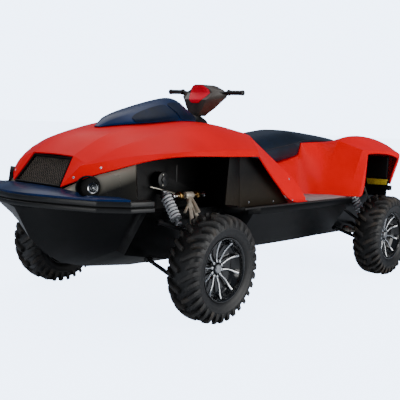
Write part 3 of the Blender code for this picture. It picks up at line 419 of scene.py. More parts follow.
def painted_low_highlight(made, dust_and_highlight, unlit_z, lit_z, wander_mm, wander_height=0.16, most=0.75):
    """A painted highlight: a second colour laid below a height, with an edge that wanders."""
    tree, place = placed_tree(made)
    height = add(tree, "SeparateXYZ", {0: place}).outputs["Z"]
    cloud = add(tree, "TexNoise", {"Vector": place, "Scale": 1000 / wander_mm, "Detail": 5.0})
    wander = add(tree, "Math", {0: cloud.outputs["Fac"], 1: wander_height, 2: height},
                 operation="MULTIPLY_ADD")
    dust_and_highlight_share = add(tree, "MapRange", {
        "Value": wander.outputs["Value"], "From Min": unlit_z, "From Max": lit_z, "To Max": most,
    })
    return tinted(made, dust_and_highlight_share.outputs["Result"], dust_and_highlight)


def painted_highlight_fade(made, tint, direction, start, end):
    """Painted light: a fade to a second colour along a direction, between two distances from the origin."""
    tree, place = placed_tree(made)
    along = add(tree, "VectorMath", {0: place, 1: direction}, operation="DOT_PRODUCT")
    highlight_share = add(tree, "MapRange", {"Value": along.outputs["Value"], "From Min": start, "From Max": end})
    return tinted(made, highlight_share.outputs["Result"], tint)


def grooved(made, pitch_mm, depth_mm):
    """Grooves along the length, side by side across."""
    tree, place = placed_tree(made)
    groove = add(tree, "TexWave", {"Vector": place, "Scale": 1000 / pitch_mm / pi}, bands_direction="Y")
    return embossed(made, groove.outputs["Fac"], depth_mm)


def pebbled(made, pebble_mm, depth_mm):
    """The pebble grain that an embossing roller leaves in vinyl."""
    tree, place = placed_tree(made)
    pebble = add(tree, "TexVoronoi", {"Vector": place, "Scale": 1000 / pebble_mm}, feature="SMOOTH_F1")
    return embossed(made, pebble.outputs["Distance"], depth_mm)


# Polyester gel coat out of a polished mould: deep gloss with a faint orange peel
RED = surface("gel_coat_red", "red_gel_coat", ("EE000C", "FA0014"), (0.3, 0.36), 400, 9, 0.02, 0, 0.05)

# The same gel coat in black, scuffed duller by sand and slipways
BLACK = surface("gel_coat_black", "black_hull", ("030303", "060606"), (0.26, 0.38), 260, 5, 0.03, 0, 0.14)

# Dark blue metallic paint under clear lacquer
NAVY = surface("paint_navy", "navy_gloss", ("081B3C", "0C2C5C"), (0.26, 0.32), 300, 1.5, 0.01, 0.1, 0.15)

# Polypropylene moulded against a fine spark texture
PLASTIC = surface("plastic_black", "black_hull", ("060606", "0B0B0B"), (0.42, 0.52), 120, 1.2, 0.05, 0, 0.14)

# ABS in dark warm grey, moulded with a leather-fine texture
GREY = surface("plastic_grey", "grey_plastic", ("1C1A17", "262320"), (0.38, 0.48), 200, 1.6, 0.06, 0, 0.35)

# Black moulded panel, lighter brown-grey over its lower half: a painted highlight
PANEL = surface("dusty_panel", "grey_plastic", ("050505", "090808"), (0.44, 0.54), 120, 1.6, 0.05, 0, 0.12)
painted_low_highlight(PANEL, "30291F", 0.93, 0.77, 180)

# Matt midnight-blue lacquer over a fine moulded texture
INSET = surface("inset_matt", "navy_gloss", ("050F22", "081A36"), (0.42, 0.52), 120, 1.2, 0.05, 0, 0.12)

# Warm grey-brown lacquer on a moulded ABS fairing
NACELLE = surface("nacelle_lacquer", "grey_plastic", ("352C26", "463C34"), (0.3, 0.38), 70, 1.8, 0.03)

# Laser-cut steel plate, zinc flake coated to a pale warm grey
LINK = surface("link_plate", "steel", ("B5AA98", "D2C8B6"), (0.36, 0.46), 24, 1.2, 0.04, 0.35)

# Grey-green metallic lacquer with painted light: a fade from a painted pearl reflection along the top edge
# to near black below
OLIVE = surface("lacquer_olive", "olive_metal", ("1E1C18", "29261F"), (0.24, 0.32), 160, 2, 0.02, 0.35)
painted_highlight_fade(OLIVE, "A39C8C", (0.5, 0, 1), 1.505, 1.575)

# Extruded EPDM rubber rail, polished where it rubs
RUBBER = surface("rubber_black", "black_rubber", ("0A0A0A", "121211"), (0.32, 0.44), 80, 2, 0.05, 0, 0.4)


def tread_rubber(axle, dust_and_highlight, amount):
    # Vulcanised tread rubber, greyed by wear, with trail dust lying in the tread
    worn = surface("tyre_rubber_" + axle, "tyre", ("1B1A19", "292725"), (0.55, 0.7), 60, 2.5, 0.25)
    return dusted(worn, dust_and_highlight, amount, 70)


FRONT_TREAD = tread_rubber("front", "5A4C3C", 0.35)
REAR_TREAD = tread_rubber("rear", "5E4E3E", 0.5)

# Sidewall compound, a little waxy, blacker than the worn tread: partly the real compound, partly painted
# shade between the lugs
CARCASS_RUBBER = surface("carcass_rubber", "tyre", ("090909", "11100F"), (0.42, 0.55), 50, 2, 0.08)

# Bare steel plate, milled and slightly stained
STEEL = surface("machined_steel", "steel", ("A8A294", "CFCABB"), (0.28, 0.42), 30, 1.2, 0.04, 1.0)

# Yellow zinc passivate over steel bushes
BRASS = surface("plated_brass", "brass", ("8C6A3A", "C09A5C"), (0.22, 0.34), 12, 1, 0.03, 1.0)

# Black polyester powder coat with its slight ripple
POWDER = surface("powder_black", "black_steel", ("090909", "101010"), (0.34, 0.46), 60, 2.2, 0.06, 0, 0.4)

# Turned and clear-coated aluminium, bright with a fine tool mark
ALUMINIUM = surface("turned_aluminium", "aluminium", ("C4C6C8", "E4E5E6"), (0.18, 0.28), 20, 0.8, 0.02, 1.0)

# Silver powder coat over spring wire
SPRING = surface("spring_silver", "aluminium", ("E2E4E6", "F4F5F6"), (0.28, 0.35), 20, 1.2, 0.03, 0.25)

# Gloss black enamel baked on cast aluminium
RIM = surface("rim_gloss", "rim_black", ("0B0B0C", "131314"), (0.14, 0.22), 80, 6, 0.03, coat_weight=0.4)

# Closed-cell foam deck mat in warm grey, routed with grooves 12 mm apart
MAT = grooved(surface("mat_foam", "mat_grey", ("8C7C7B", "A39392"), (0.7, 0.8), 60, 1.5, 0.1), 12, 1.5)

# Marine vinyl with a pebble grain about 2 mm across, wiped shiny
VINYL = surface("seat_vinyl", "seat_vinyl", ("08121F", "0E1C30"), (0.3, 0.4), 150, 2, 0.02, 0, 0.4)
pebbled(VINYL, 2.2, 0.3)

# Bonded polyester thread
THREAD = surface("thread_grey", "seat_vinyl", ("10161F", "1A222E"), (0.6, 0.7), 20, 1, 0.05)

# Red vinyl over foam on the bars
PAD = surface("pad_red", "red_gel_coat", ("EC002A", "F60038"), (0.36, 0.44), 60, 2, 0.05, 0, 0.12)

# Anodised expanded mesh, dark bronze, lighter in small random patches
MESH = surface("grille_mesh", "grey_plastic", ("2E2924", "6A5E52"), (0.4, 0.55), 9, 1.5, 0.1, 0.4)

# Hard-coated polycarbonate lens
LENS = surface("lamp_lens", "lamp_glass", ("F2F5F8", "FBFCFD"), (0.03, 0.05), 200, 20, 0.0,
               transmission_weight=0.95, ior=1.58)

# Red acrylic lens
TAIL = surface("tail_red", "lamp_red", ("8E0410", "A80818"), (0.06, 0.1), 40, 8, 0.02, coat_weight=0.5)

# Retro-reflective yellow film, blank, with a honeycomb cell
YELLOW = surface("film_yellow", "brass", ("D8B414", "F2D544"), (0.3, 0.45), 14, 1.5, 0.05)

# Zinc-plated screw heads
ZINC = surface("zinc_screw", "steel", ("D5D8DA", "F2F3F4"), (0.18, 0.3), 6, 1, 0.02, 1.0)

# Sand-cast aluminium with a rough skin
CAST = surface("cast_aluminium", "aluminium", ("8F9194", "A9ABAD"), (0.4, 0.52), 30, 1.4, 0.15, 1.0)


def placed(item, finish, body="root", *nodes):
    """Gives a finished piece its material and its body, and hides the solids that it stands for."""
    item.data.materials.clear()
    item.data.materials.append(finish)
    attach(item, body)
    if nodes:
        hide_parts(*nodes)
    return item


def paired(item, finish, *nodes):
    """A piece on the left with its mirror image, both on the fixed body."""
    return placed(both_sides(item), finish, "root", *nodes)


def sides_of(node):
    """A node's names on the left and the right."""
    return node + "_left", node + "_right"


FLAT_ANGLE = 0.5


def clean_copy(node, name):
    """A copy of a solid with its triangles welded and its flat faces merged."""
    item = copied(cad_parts[node], Matrix.Identity(4), name)
    edit(item)
    bpy.ops.mesh.remove_doubles(threshold=WELD)
    bpy.ops.mesh.dissolve_limited(angle_limit=radians(FLAT_ANGLE))
    return done(item)


def numbered(rows):
    """Names the points of each row by counting on from the row's first name, such as S3, S4, S5."""
    return {key[0] + str(int(key[1]) + i): point for key, row in rows.items() for i, point in enumerate(row)}


# Red front body: A middle, B tank edge, C shoulder, D band, E lower edge, F and G the leg, H its return.
FRONT = numbered({
    "A0": ((1.535, 0, 0.938), (1.4, 0, 1.042), (1.27, 0, 1.078), (1.19, 0, 1.095), (1.05, 0, 1.119),
            (0.86, 0, 1.14), (0.66, 0, 1.15), (0.42, 0, 1.143), (0.24, 0, 1.105)),
    "B0": ((1.53, 0.172, 0.932), (1.382, 0.2, 1.029), (1.254, 0.18, 1.068), (1.178, 0.175, 1.083),
            (1.033, 0.182, 1.115), (0.86, 0.225, 1.138), (0.66, 0.25, 1.15), (0.42, 0.24, 1.143),
            (0.24, 0.2, 1.105)),
    "C0": ((1.529, 0.285, 0.898), (1.454, 0.315, 0.937), (1.365, 0.335, 0.984), (1.276, 0.36, 1.013),
            (1.069, 0.38, 1.069), (0.85, 0.385, 1.118), (0.66, 0.4, 1.143), (0.43, 0.425, 1.118),
            (0.26, 0.43, 1.07)),
    "N0": ((1.642, 0.205, 0.77),),
    "D0": ((1.56, 0.265, 0.884), (1.479, 0.34, 0.907), (1.413, 0.385, 0.928), (1.311, 0.465, 0.952),
            (1.207, 0.545, 0.967), (1.08, 0.615, 0.984), (0.76, 0.64, 0.99), (0.44, 0.628, 0.99),
            (0.34, 0.5, 1.06)),
    "E0": ((1.584, 0.295, 0.815), (1.507, 0.365, 0.853), (1.441, 0.425, 0.879), (1.325, 0.495, 0.92),
            (1.222, 0.56, 0.946), (1.09, 0.625, 0.958), (0.76, 0.65, 0.952), (0.425, 0.632, 0.95)),
    "F1": ((0.255, 0.622, 0.815), (0.13, 0.618, 0.723), (-0.01, 0.612, 0.629)),
    "G1": ((0.04, 0.56, 0.857), (-0.07, 0.585, 0.795), (-0.19, 0.628, 0.629)),
    "H0": ((0.315, 0.445, 1.045), (0.025, 0.515, 0.85), (-0.085, 0.545, 0.79), (-0.205, 0.59, 0.629)),
})

FRONT_PATCHES = (
    ("A0 A1 A2 A3 A4 A5 A6 A7 A8", "B0 B1 B2 B3 B4 B5 B6 B7 B8", "C0 C1 C2 C3 C4 C5 C6 C7 C8"),
    ("C0 C1 C2 C3 C4 C5 C6 C7", "D0 D1 D2 D3 D4 D5 D6 D7", "E0 E1 E2 E3 E4 E5 E6 E7"),
    ("B0 C0", "N0 D0"),
    ("N0 D0", "N0 E0"),
    ("C7 C8", "D7 D8"),
    ("E7 F1 F2 F3", "D8 G1 G2 G3", "H0 H1 H2 H3"),
)


def make_front_body():
    """The red hood, fenders and legs as one moulded skin."""
    creases = {
        0.45: ("B2 B3 B4", "C4 C5 C6", "D4 D5 D6 D7"),
        0.9: ("B0 B1 B2", "C0 C1 C2 C3 C4"),
        1.0: (
            "C0 D0 D1 D2 D3 D4", "D8 G1 G2 G3", "D0 N0 E0", "N0 B0", "A0 B0 C0", "E7 D7 D8 C8 C7",
        ),
    }
    item = panel("front_body_skin", FRONT, FRONT_PATCHES, creases)
    return placed(item, RED, "root", "front_body")


# Red rear body: P and Q the tunnel, R its foot, S to W the fender, X and Y the stern.
REAR = numbered({
    "P0": ((0.3, 0, 0.86), (-0.4, 0, 0.865), (-0.64, 0, 0.925), (-0.665, 0, 1.02), (-0.94, 0, 1.03),
            (-1.4, 0, 1.005), (-1.79, 0, 0.955)),
    "Q0": ((0.3, 0.19, 0.86), (-0.4, 0.215, 0.865), (-0.64, 0.245, 0.925), (-0.665, 0.25, 1.02),
            (-0.94, 0.26, 1.03), (-1.4, 0.27, 1.005), (-1.79, 0.25, 0.955)),
    "R0": ((0.3, 0.27, 0.629), (-0.4, 0.285, 0.629), (-0.64, 0.3, 0.629), (-0.735, 0.415, 0.629),
            (-0.89, 0.56, 0.629), (-0.945, 0.625, 0.629), (-0.985, 0.645, 0.629)),
    "S3": ((-0.92, 0.415, 1.052), (-1.12, 0.43, 1.108), (-1.38, 0.48, 1.088), (-1.62, 0.505, 1.03),
            (-1.8, 0.48, 0.975)),
    "U3": ((-0.975, 0.61, 0.988), (-1.12, 0.635, 0.988), (-1.38, 0.645, 0.982), (-1.59, 0.635, 0.965),
            (-1.755, 0.58, 0.935)),
    "V3": ((-1.01, 0.642, 0.96), (-1.13, 0.648, 0.966), (-1.38, 0.652, 0.955), (-1.56, 0.642, 0.92),
            (-1.7, 0.595, 0.88)),
    "W6": ((-1.43, 0.632, 0.705), (-1.52, 0.622, 0.7)),
    "X0": ((-1.815, 0, 0.88), (-1.815, 0.26, 0.88), (-1.8, 0.48, 0.89)),
    "Y0": ((-1.74, 0, 0.7), (-1.74, 0.25, 0.7), (-1.69, 0.47, 0.7)),
})

REAR_PATCHES = (
    ("P0 P1 P2 P3 P4 P5 P6", "Q0 Q1 Q2 Q3 Q4 Q5 Q6"),
    ("Q0 Q1 Q2 Q3", "R0 R1 R2 R3"),
    ("Q3 Q4", "R3 S3"),
    ("Q4 Q4 Q5 Q5 Q6", "S3 S4 S5 S6 S7"),
    ("S3 U3 V3 V3", "R3 R4 R5 R6"),
    ("S3 S4 S5 S6 S7", "U3 U4 U5 U6 U7", "V3 V4 V5 V6 V7"),
    ("V6 V7", "W6 W7"),
    ("P6 Q6 S7", "X0 X1 X2", "Y0 Y1 Y2"),
    ("S7 X2", "U7 V7"),
    ("X2 Y2", "V7 W7"),
)


def make_rear_body():
    """The red tunnel, fenders and tail as one moulded skin."""
    creases = {
        0.5: ("S4 S5 S6 S7",),
        0.8: ("Q0 Q1 Q2 Q3", "P1 Q1", "S3 S4"),
        0.95: ("U3 U4 U5 U6 U7", "P2 Q2", "R2 R3", "X0 X1 X2", "P6 Q6 S7", "Y2 X2"),
        1.0: (
            "Q2 Q3 P3", "Q4 Q3 S3 R3", "V7 V6 V5 V4 V3 R6", "V6 W6", "S3 U3 V3 R5", "R4 U3",
        ),
    }
    item = panel("rear_body_skin", REAR, REAR_PATCHES, creases)
    return placed(item, RED, "root", "rear_body")


def smooth_line(points, steps):
    """Points along a Catmull-Rom line through the given ones."""
    points = [Vector(point) for point in points]
    line = []
    for i in range(len(points) - 1):
        before = points[max(i - 1, 0)]
        first, second = points[i], points[i + 1]
        after = points[min(i + 2, len(points) - 1)]
        for step in range(steps):
            t = step / steps
            bend = 2 * first + (second - before) * t
            bend += (2 * before - 5 * first + 4 * second - after) * t * t
            bend += (3 * first - before - 3 * second + after) * t * t * t
            line.append(bend / 2)
    return [*line, points[-1]]


# Cowl: x, foot z, foot half width, top half width, top z
COWL = (
    (1.215, 1.0905, 0.022, 0.016, 1.096), (1.16, 1.101, 0.062, 0.042, 1.132),
    (1.095, 1.1125, 0.12, 0.068, 1.166), (1.0, 1.1255, 0.19, 0.084, 1.199),
    (0.9, 1.1372, 0.225, 0.09, 1.23), (0.78, 1.1456, 0.23, 0.09, 1.264),
    (0.66, 1.15, 0.225, 0.082, 1.292), (0.58, 1.1492, 0.2, 0.074, 1.302),
    (0.5, 1.1465, 0.165, 0.066, 1.262), (0.445, 1.1437, 0.12, 0.055, 1.2),
)


# Panels let into the cowl's sides: x, and the shares of the side's height where each starts and ends
COWL_PANELS = (
    ("cowl_inset", (
        (1.045, 0.1, 0.62), (1.0, 0.08, 0.86), (0.9, 0.06, 0.96), (0.8, 0.05, 0.97), (0.735, 0.05, 0.97),
    )),
    ("cowl_rear", ((0.722, 0.05, 0.98), (0.64, 0.05, 0.98), (0.56, 0.05, 0.96), (0.48, 0.1, 0.9))),
)


# The cowl's side: how far its roof edge drops, how high its knee is, and the knee's half width
ROOF_DROP = 0.2
KNEE = 0.3
KNEE_WIDTH = 0.93


def on_cowl(x, share):
    """A point on the cowl's left side, at a share of the height between its foot and its roof edge."""
    for before, after in zip(COWL, COWL[1:]):
        if after[0] <= x <= before[0]:
            mix = (before[0] - x) / (before[0] - after[0])
            foot_z, foot, top, top_z = (a + (b - a) * mix for a, b in zip(before[1:], after[1:]))
    roof_z = top_z - ROOF_DROP * (top_z - foot_z)
    knee = KNEE * (top_z - foot_z)
    height = share * (roof_z - foot_z)
    if height < knee:
        y = foot - (1 - KNEE_WIDTH) * foot * height / knee
    else:
        y = KNEE_WIDTH * foot + (top - KNEE_WIDTH * foot) * (height - knee) / (roof_z - foot_z - knee)
    return (x, y, foot_z + height)


def make_cowl():
    """The dark cowl ahead of the bars, one lofted shell with a firm edge along its roof."""
    rows = []
    for x, foot_z, foot, top, top_z in COWL:
        drop = ROOF_DROP * (top_z - foot_z)
        half = [(0, top_z), (top * 0.62, top_z - drop * 0.35), (top, top_z - drop)]
        half += [(foot * KNEE_WIDTH, foot_z + KNEE * (top_z - foot_z)), (foot, foot_z + 0.001)]
        rows.append([(x, -y, z) for y, z in reversed(half)] + [(x, y, z) for y, z in half[1:]])
    item = sheet_through("cowl_shell", rows)
    edit(item)
    done(item)
    edge = {}
    for i, (x, foot_z, foot, top, top_z) in enumerate(COWL):
        edge[f"K{i}"] = (x, top, top_z - ROOF_DROP * (top_z - foot_z))
    creased(item, (" ".join(edge),), edge, 0.55)
    subdivided(item, 3)
    thickened(item, 0.006)
    placed(smoothed(item, 50), NAVY, "root", "cowl")
    for name, stations in COWL_PANELS:
        rows = [[on_cowl(x, low + (high - low) * i / 4) for i in range(5)] for x, low, high in stations]
        sheet = sheet_through(name, rows)
        edit(sheet)
        done(sheet)
        thickened(subdivided(sheet, 2), 0.003, 1)
        paired(smoothed(sheet, 40), INSET)


# Seat: x, foot half width, foot z, side half width, side z, top half width, top z
SEAT = (
    (0.18, 0.15, 0.8612, 0.175, 0.9, 0.1, 0.975), (-0.1, 0.19, 0.8635, 0.205, 0.94, 0.13, 1.03),
    (-0.395, 0.208, 0.8656, 0.225, 0.985, 0.15, 1.085), (-0.638, 0.236, 0.9254, 0.24, 1.02, 0.165, 1.112),
    (-0.6644, 0.238, 1.0206, 0.242, 1.04, 0.165, 1.113), (-0.94, 0.236, 1.0306, 0.24, 1.045, 0.16, 1.095),
    (-1.4, 0.195, 1.0058, 0.202, 1.016, 0.13, 1.056), (-1.46, 0.15, 0.9981, 0.16, 1.005, 0.11, 1.035),
)


def make_seat():
    """The long two-up saddle: a padded form with a welt along its sides."""
    rings = []
    marks = {}
    for i, (x, foot, foot_z, side, side_z, top, top_z) in enumerate(SEAT):
        half = [(foot, foot_z), (side, foot_z + 0.3 * (side_z - foot_z)), (side, side_z)]
        half += [(top, top_z - 0.008), (top * 0.5, top_z)]
        marks[f"F{i}"], marks[f"L{i}"], marks[f"M{i}"] = ((x, y, z) for y, z in half[:3])
        rings.append([(x, y, z) for y, z in half] + [(x, -y, z) for y, z in reversed(half)])
    item = extruded("seat_cushion", rings)
    count = len(SEAT)
    creased(item, (" ".join(f"F{i}" for i in range(count)),), marks, 0.9)
    creased(item, (" ".join(f"L{i}" for i in range(count)), "F3 L3 M3"), marks, 0.45)
    subdivided(item, 3)
    smoothed(item, 60)
    placed(item, VINYL, "root", "seat")
    line = [marks[f"M{i}"] for i in range(count)]
    paired(pipe("seat_welt", [(x, y + 0.001, z) for x, y, z in line], 0.003, 8, False, True), THREAD)
    return item


# Tyre: carcass half width by radius, then the lugs' stations across the tread
CARCASS = (
    (0.187, 0.08), (0.196, 0.09), (0.215, 0.0985), (0.236, 0.1015), (0.238, 0.103), (0.244, 0.103),
    (0.246, 0.1015), (0.26, 0.0985), (0.275, 0.0905), (0.287, 0.076), (0.293, 0.05), (0.2945, 0.02),
)
CARCASS_HALF = 0.103
REAR_HALF = 0.105
TYRE_TURN = 0.13
LUG_PITCHES = 16
LONG_LUG = (
    (0.004, 0.3175), (0.03, 0.3172), (0.058, 0.3145), (0.08, 0.3075), (0.096, 0.294), (0.1025, 0.272),
)
SHORT_LUG = ((0.05, 0.3155), (0.07, 0.312), (0.086, 0.304), (0.098, 0.29), (0.1025, 0.276))
LUG_SINK = 0.03
LUG_SWEEP = 0.2
LUG_WIDTH = 0.026


def lug(name, stations, sweep, width):
    """One tread bar that runs from the middle to the shoulder, drawn out along its stations."""
    rings = []
    reach = stations[-1][0]
    for y, radius in stations:
        turn = sweep * (y / reach) ** 1.2
        foot = radius - LUG_SINK
        ring = []
        for r, half in ((foot, width * 0.62), (radius, width * 0.46)):
            ring.append((r, turn - half / radius))
            ring.append((r, turn + half / radius))
        order = (ring[0], ring[1], ring[3], ring[2])
        rings.append([(r * sin(a), y, r * cos(a)) for r, a in order])
    item = extruded(name, rings)
    return rounded(item, 0.0022, 2, 30)


def make_tyre(axle, half_width):
    """A knobbly tyre about the origin: a spun carcass, and its tread bars in pairs."""
    stretch = half_width / CARCASS_HALF
    outer = [(radius, y * stretch) for radius, y in CARCASS]
    loop = outer + [(radius, -y) for radius, y in reversed(outer)]
    carcass = smoothed(turned("carcass_" + axle, [*loop, loop[0]], 96), 40)
    pieces = []
    pitch = 2 * pi / LUG_PITCHES
    long_one = lug("long", [(y * stretch, r) for y, r in LONG_LUG], -LUG_SWEEP, LUG_WIDTH)
    short_one = lug("short", [(y * stretch, r) for y, r in SHORT_LUG], -LUG_SWEEP, LUG_WIDTH)
    for i in range(LUG_PITCHES):
        for flip, shift in ((Matrix.Identity(4), 0), (MIRROR_Y, 0.5)):
            turn = pitch * (i + shift)
            pieces.append(copied(long_one, Matrix.Rotation(turn, 4, "Y") @ flip))
            pieces.append(copied(short_one, Matrix.Rotation(turn + pitch / 2, 4, "Y") @ flip))
    for item in (long_one, short_one):
        bpy.data.objects.remove(item)
    return joined("tread_" + axle, pieces), carcass


def make_tyres():
    """Both axles' tyres, each in two pieces: the dusty tread and the blacker carcass, whose black is partly
    painted shade between the lugs.
    """
    for axle, x, half, tread in (
        ("front", FRONT_AXLE_X, CARCASS_HALF, FRONT_TREAD), ("rear", REAR_AXLE_X, REAR_HALF, REAR_TREAD),
    ):
        for master, finish in zip(make_tyre(axle, half), (tread, CARCASS_RUBBER)):
            for side, sign in SIDES:
                spin = Matrix.Rotation(TYRE_TURN * sign, 4, "Y")
                turn = spin if sign > 0 else spin @ MIRROR_Y
                place = Matrix.Translation((x, WHEEL_Y * sign, AXLE_Z)) @ turn
                item = copied(master, place, f"{master.name}_{side}")
                placed(item, finish, f"wheel_{axle}_{side}", f"tyre_{axle}_{side}")
            bpy.data.objects.remove(master)


# Rim: the barrel's line of radius and distance along the axle, and what stands on its dish
BARREL = (
    (0.186, 0.086), (0.186, 0.074), (0.178, 0.07), (0.176, 0.05), (0.15, 0.03), (0.145, -0.03),
    (0.176, -0.05), (0.178, -0.07), (0.186, -0.074), (0.186, -0.086), (0.181, -0.086), (0.172, -0.06),
    (0.141, -0.034), (0.141, 0.01), (0.044, 0.01), (0.044, 0.0), (0.137, 0.0), (0.146, 0.022),
    (0.172, 0.055), (0.176, 0.08), (0.181, 0.086), (0.186, 0.086),
)
SPOKES = 10
SPOKE_DEPTH = 0.012
SPOKE_HALF = 0.0066
SPOKE_WAIST = 0.0016
SPOKE_FLARE = 0.002
NUTS = 4
NUT_CIRCLE = 0.06
NUT_TURN = 0.15
RIM_TURN = 0.1


def make_rims():
    """Deep black rims with ten slim bright spokes, a cap and dark nuts."""
    barrel = smoothed(turned("barrel", BARREL, 64), 30)
    dish_line = ((0.0, 0.004), (0.12, 0.004), (0.15, 0.03), (0.15, 0.022), (0.0, -0.004))
    dish = smoothed(turned("dish", dish_line, 48), 30)
    rings = []
    stations = smooth_line(((0.04, 0.0, 0.024), (0.062, 0.002, 0.03), (0.09, 0.006, 0.036),
                            (0.12, 0.004, 0.042), (0.148, -0.002, 0.05), (0.17, -0.006, 0.062)), 3)
    for i, (radius, shift, height) in enumerate(stations):
        share = i / (len(stations) - 1)
        half = SPOKE_HALF - SPOKE_WAIST * sin(share * pi) + SPOKE_FLARE * share
        section = (
            (-half, -SPOKE_DEPTH), (half, -SPOKE_DEPTH), (half, -0.003), (half * 0.5, 0), (-half * 0.5, 0),
            (-half, -0.003),
        )
        rings.append([(shift + side, height + up, radius) for side, up in section])
    spoke = rounded(extruded("spoke", rings), 0.001, 1, 40)
    boss = round_bar("boss", (0, 0.006, 0.046), (0, 0.03, 0.046), 0.0095, 16, 0.0015)
    arm = joined("arm", [spoke, boss])
    arms = [copied(arm, Matrix.Rotation(2 * pi * i / SPOKES, 4, "Y")) for i in range(SPOKES)]
    bpy.data.objects.remove(arm)
    star = joined("star", arms)
    cap_line = ((0.0, 0.042), (0.022, 0.041), (0.027, 0.036), (0.028, 0.0), (0.0, 0.0))
    cap = smoothed(turned("cap", cap_line, 40), 30)
    nuts = []
    for i in range(NUTS):
        turn = 2 * pi * (i + 0.5) / NUTS + NUT_TURN
        spot = Vector((NUT_CIRCLE * sin(turn), 0, NUT_CIRCLE * cos(turn)))
        nuts.append(round_bar("nut", spot, spot + Vector((0, 0.026, 0)), 0.008, 6, 0.0012))
    parts = (
        ("barrel", joined("barrel", [barrel, dish]), RIM), ("spokes", star, ALUMINIUM),
        ("cap", cap, CAST), ("nuts", joined("nuts", nuts), POWDER),
    )
    for axle, x in (("front", FRONT_AXLE_X), ("rear", REAR_AXLE_X)):
        for side, sign in SIDES:
            turn = Matrix.Rotation(RIM_TURN, 4, "Y")
            flip = Matrix.Identity(4) if sign > 0 else MIRROR_Y
            place = Matrix.Translation((x, WHEEL_Y * sign, AXLE_Z)) @ flip @ turn
            for kind, master, finish in parts:
                item = copied(master, place, f"rim_{kind}_{axle}_{side}")
                placed(item, finish, f"wheel_{axle}_{side}", f"rim_{axle}_{side}")
    for kind, master, finish in parts:
        bpy.data.objects.remove(master)


# Inner walls of the front arches: the wall's outline as x and z, the back's as y and z
ARCH_WALL = (
    (0.3, 0.63), (1.4, 0.63), (1.4, 0.93), (1.25, 0.995), (1.05, 1.055), (0.86, 1.095), (0.66, 1.11),
    (0.45, 1.095), (0.3, 1.05),
)
ARCH_BACK = ((0.284, 0.63), (0.545, 0.63), (0.545, 1.005), (0.43, 1.085), (0.284, 1.115))
ARCH_WALL_Y = 0.284
ARCH_BACK_X = 0.515
ARCH_SHEET = 0.006


def make_arch_walls():
    """Black inner and rear walls that close the front arches up to the hood."""
    inner = plate("arch_walls", [(x, ARCH_WALL_Y, z) for x, z in ARCH_WALL], (0, ARCH_SHEET, 0))
    back = plate("arch_back", [(ARCH_BACK_X, y, z) for y, z in ARCH_BACK], (-ARCH_SHEET, 0, 0))
    paired(joined("arch_walls", [inner, back]), PLASTIC)


NOSE_TOP = Vector((1.529, 0, 0.925))
NOSE_FOOT = Vector((1.642, 0, 0.77))
GRILLE_HALF = (0.16, 0.192)
NET_SIZE = 0.42
NET_CELLS = 32
NET_WIRE = 0.0026


def on_nose(across, down, out):
    """A point on the raked plane of the nose opening; down runs from 0 at its top to 1 at its foot."""
    slope = NOSE_FOOT - NOSE_TOP
    outward = Vector((-slope.z, 0, slope.x)).normalized()
    return NOSE_TOP + slope * down + outward * out + Vector((0, across, 0))


def make_grille():
    """Fine bronze mesh in a black tray with a raised rim."""
    top, foot = GRILLE_HALF
    corners = ((-top, 0.04), (top, 0.04), (foot, 0.98), (-foot, 0.98))
    outward = on_nose(0, 0, 1) - on_nose(0, 0, 0)
    reach = ((-1.42 * top, -0.34), (1.42 * top, -0.34), (1.1 * foot, 1.04), (-1.1 * foot, 1.04))
    wide = [on_nose(y, down, -0.034) for y, down in reach]
    tray = plate("grille_tray", wide, outward * -0.004)
    rim = pipe("grille_rim", [on_nose(y, down, -0.008) for y, down in corners], 0.01, 12, True)
    inner = [on_nose(y * 1.03, 0.5 + (down - 0.5) * 1.05, -0.022) for y, down in corners]
    walls = pipe("grille_wall", inner, 0.014, 8, True)
    placed(joined("grille_tray", [tray, rim, walls]), PLASTIC, "root", "grille")
    deselect()
    bpy.ops.mesh.primitive_grid_add(x_subdivisions=NET_CELLS, y_subdivisions=NET_CELLS, size=NET_SIZE)
    net = started("grille_net")
    edit(net)
    bpy.ops.transform.rotate(value=radians(45), orient_axis="Z", center_override=(0, 0, 0))
    height = (NOSE_FOOT - NOSE_TOP).length
    lean = (foot - top) / height
    for spot, normal in (
        ((0, height / 2, 0), (0, 1, 0)), ((0, -height / 2, 0), (0, -1, 0)),
        (((top + foot) / 2, 0, 0), (1, lean, 0)), ((-(top + foot) / 2, 0, 0), (-1, lean, 0)),
    ):
        bpy.ops.mesh.select_all(action="SELECT")
        bpy.ops.mesh.bisect(plane_co=spot, plane_no=normal, clear_outer=True)
    done(net, outward=False)
    for vertex in net.data.vertices:
        vertex.co = on_nose(vertex.co.x, 0.5 - vertex.co.y / height, -0.012)
    wire = net.modifiers.new("wire", "WIREFRAME")
    wire.thickness = NET_WIRE
    placed(applied(net), MESH, "root", "grille")


LAMP_CENTRE = Vector((1.566, 0.338, 0.773))
LAMP_AXIS = Vector((0.8, 0.54, 0.1)).normalized()
LAMP_BORE = 0.0655
LAMP_SHIFT = 0.028

# Each lamp's pieces: finish, shift across, and a line of radius and distance along the axis
LAMP_PIECES = (
    ("lamp_bezel", PLASTIC, 0.0, (
        (0.056, -0.044), (0.064, -0.04), (0.066, 0.006), (0.064, 0.01), (0.06, 0.01), (0.058, 0.004),
        (0.056, -0.044),
    )),
    ("lamp_cup", PLASTIC, 0.0, ((0, -0.046), (0.058, -0.046), (0.058, -0.04), (0.03, -0.042), (0, -0.042))),
    ("lamp_ring", ALUMINIUM, LAMP_SHIFT, (
        (0.02, -0.04), (0.03, -0.04), (0.031, -0.006), (0.0285, 0.0), (0.0235, -0.004), (0.02, -0.04),
    )),
    ("lamp_glass", LENS, LAMP_SHIFT, (
        (0, -0.008), (0.01, -0.01), (0.02, -0.016), (0.02, -0.02), (0, -0.02),
    )),
    ("lamp_bowl", POWDER, LAMP_SHIFT, (
        (0.0, -0.034), (0.008, -0.033), (0.01, -0.03), (0.013, -0.034), (0.0198, -0.034), (0.0198, -0.037),
        (0.0, -0.037),
    )),
)


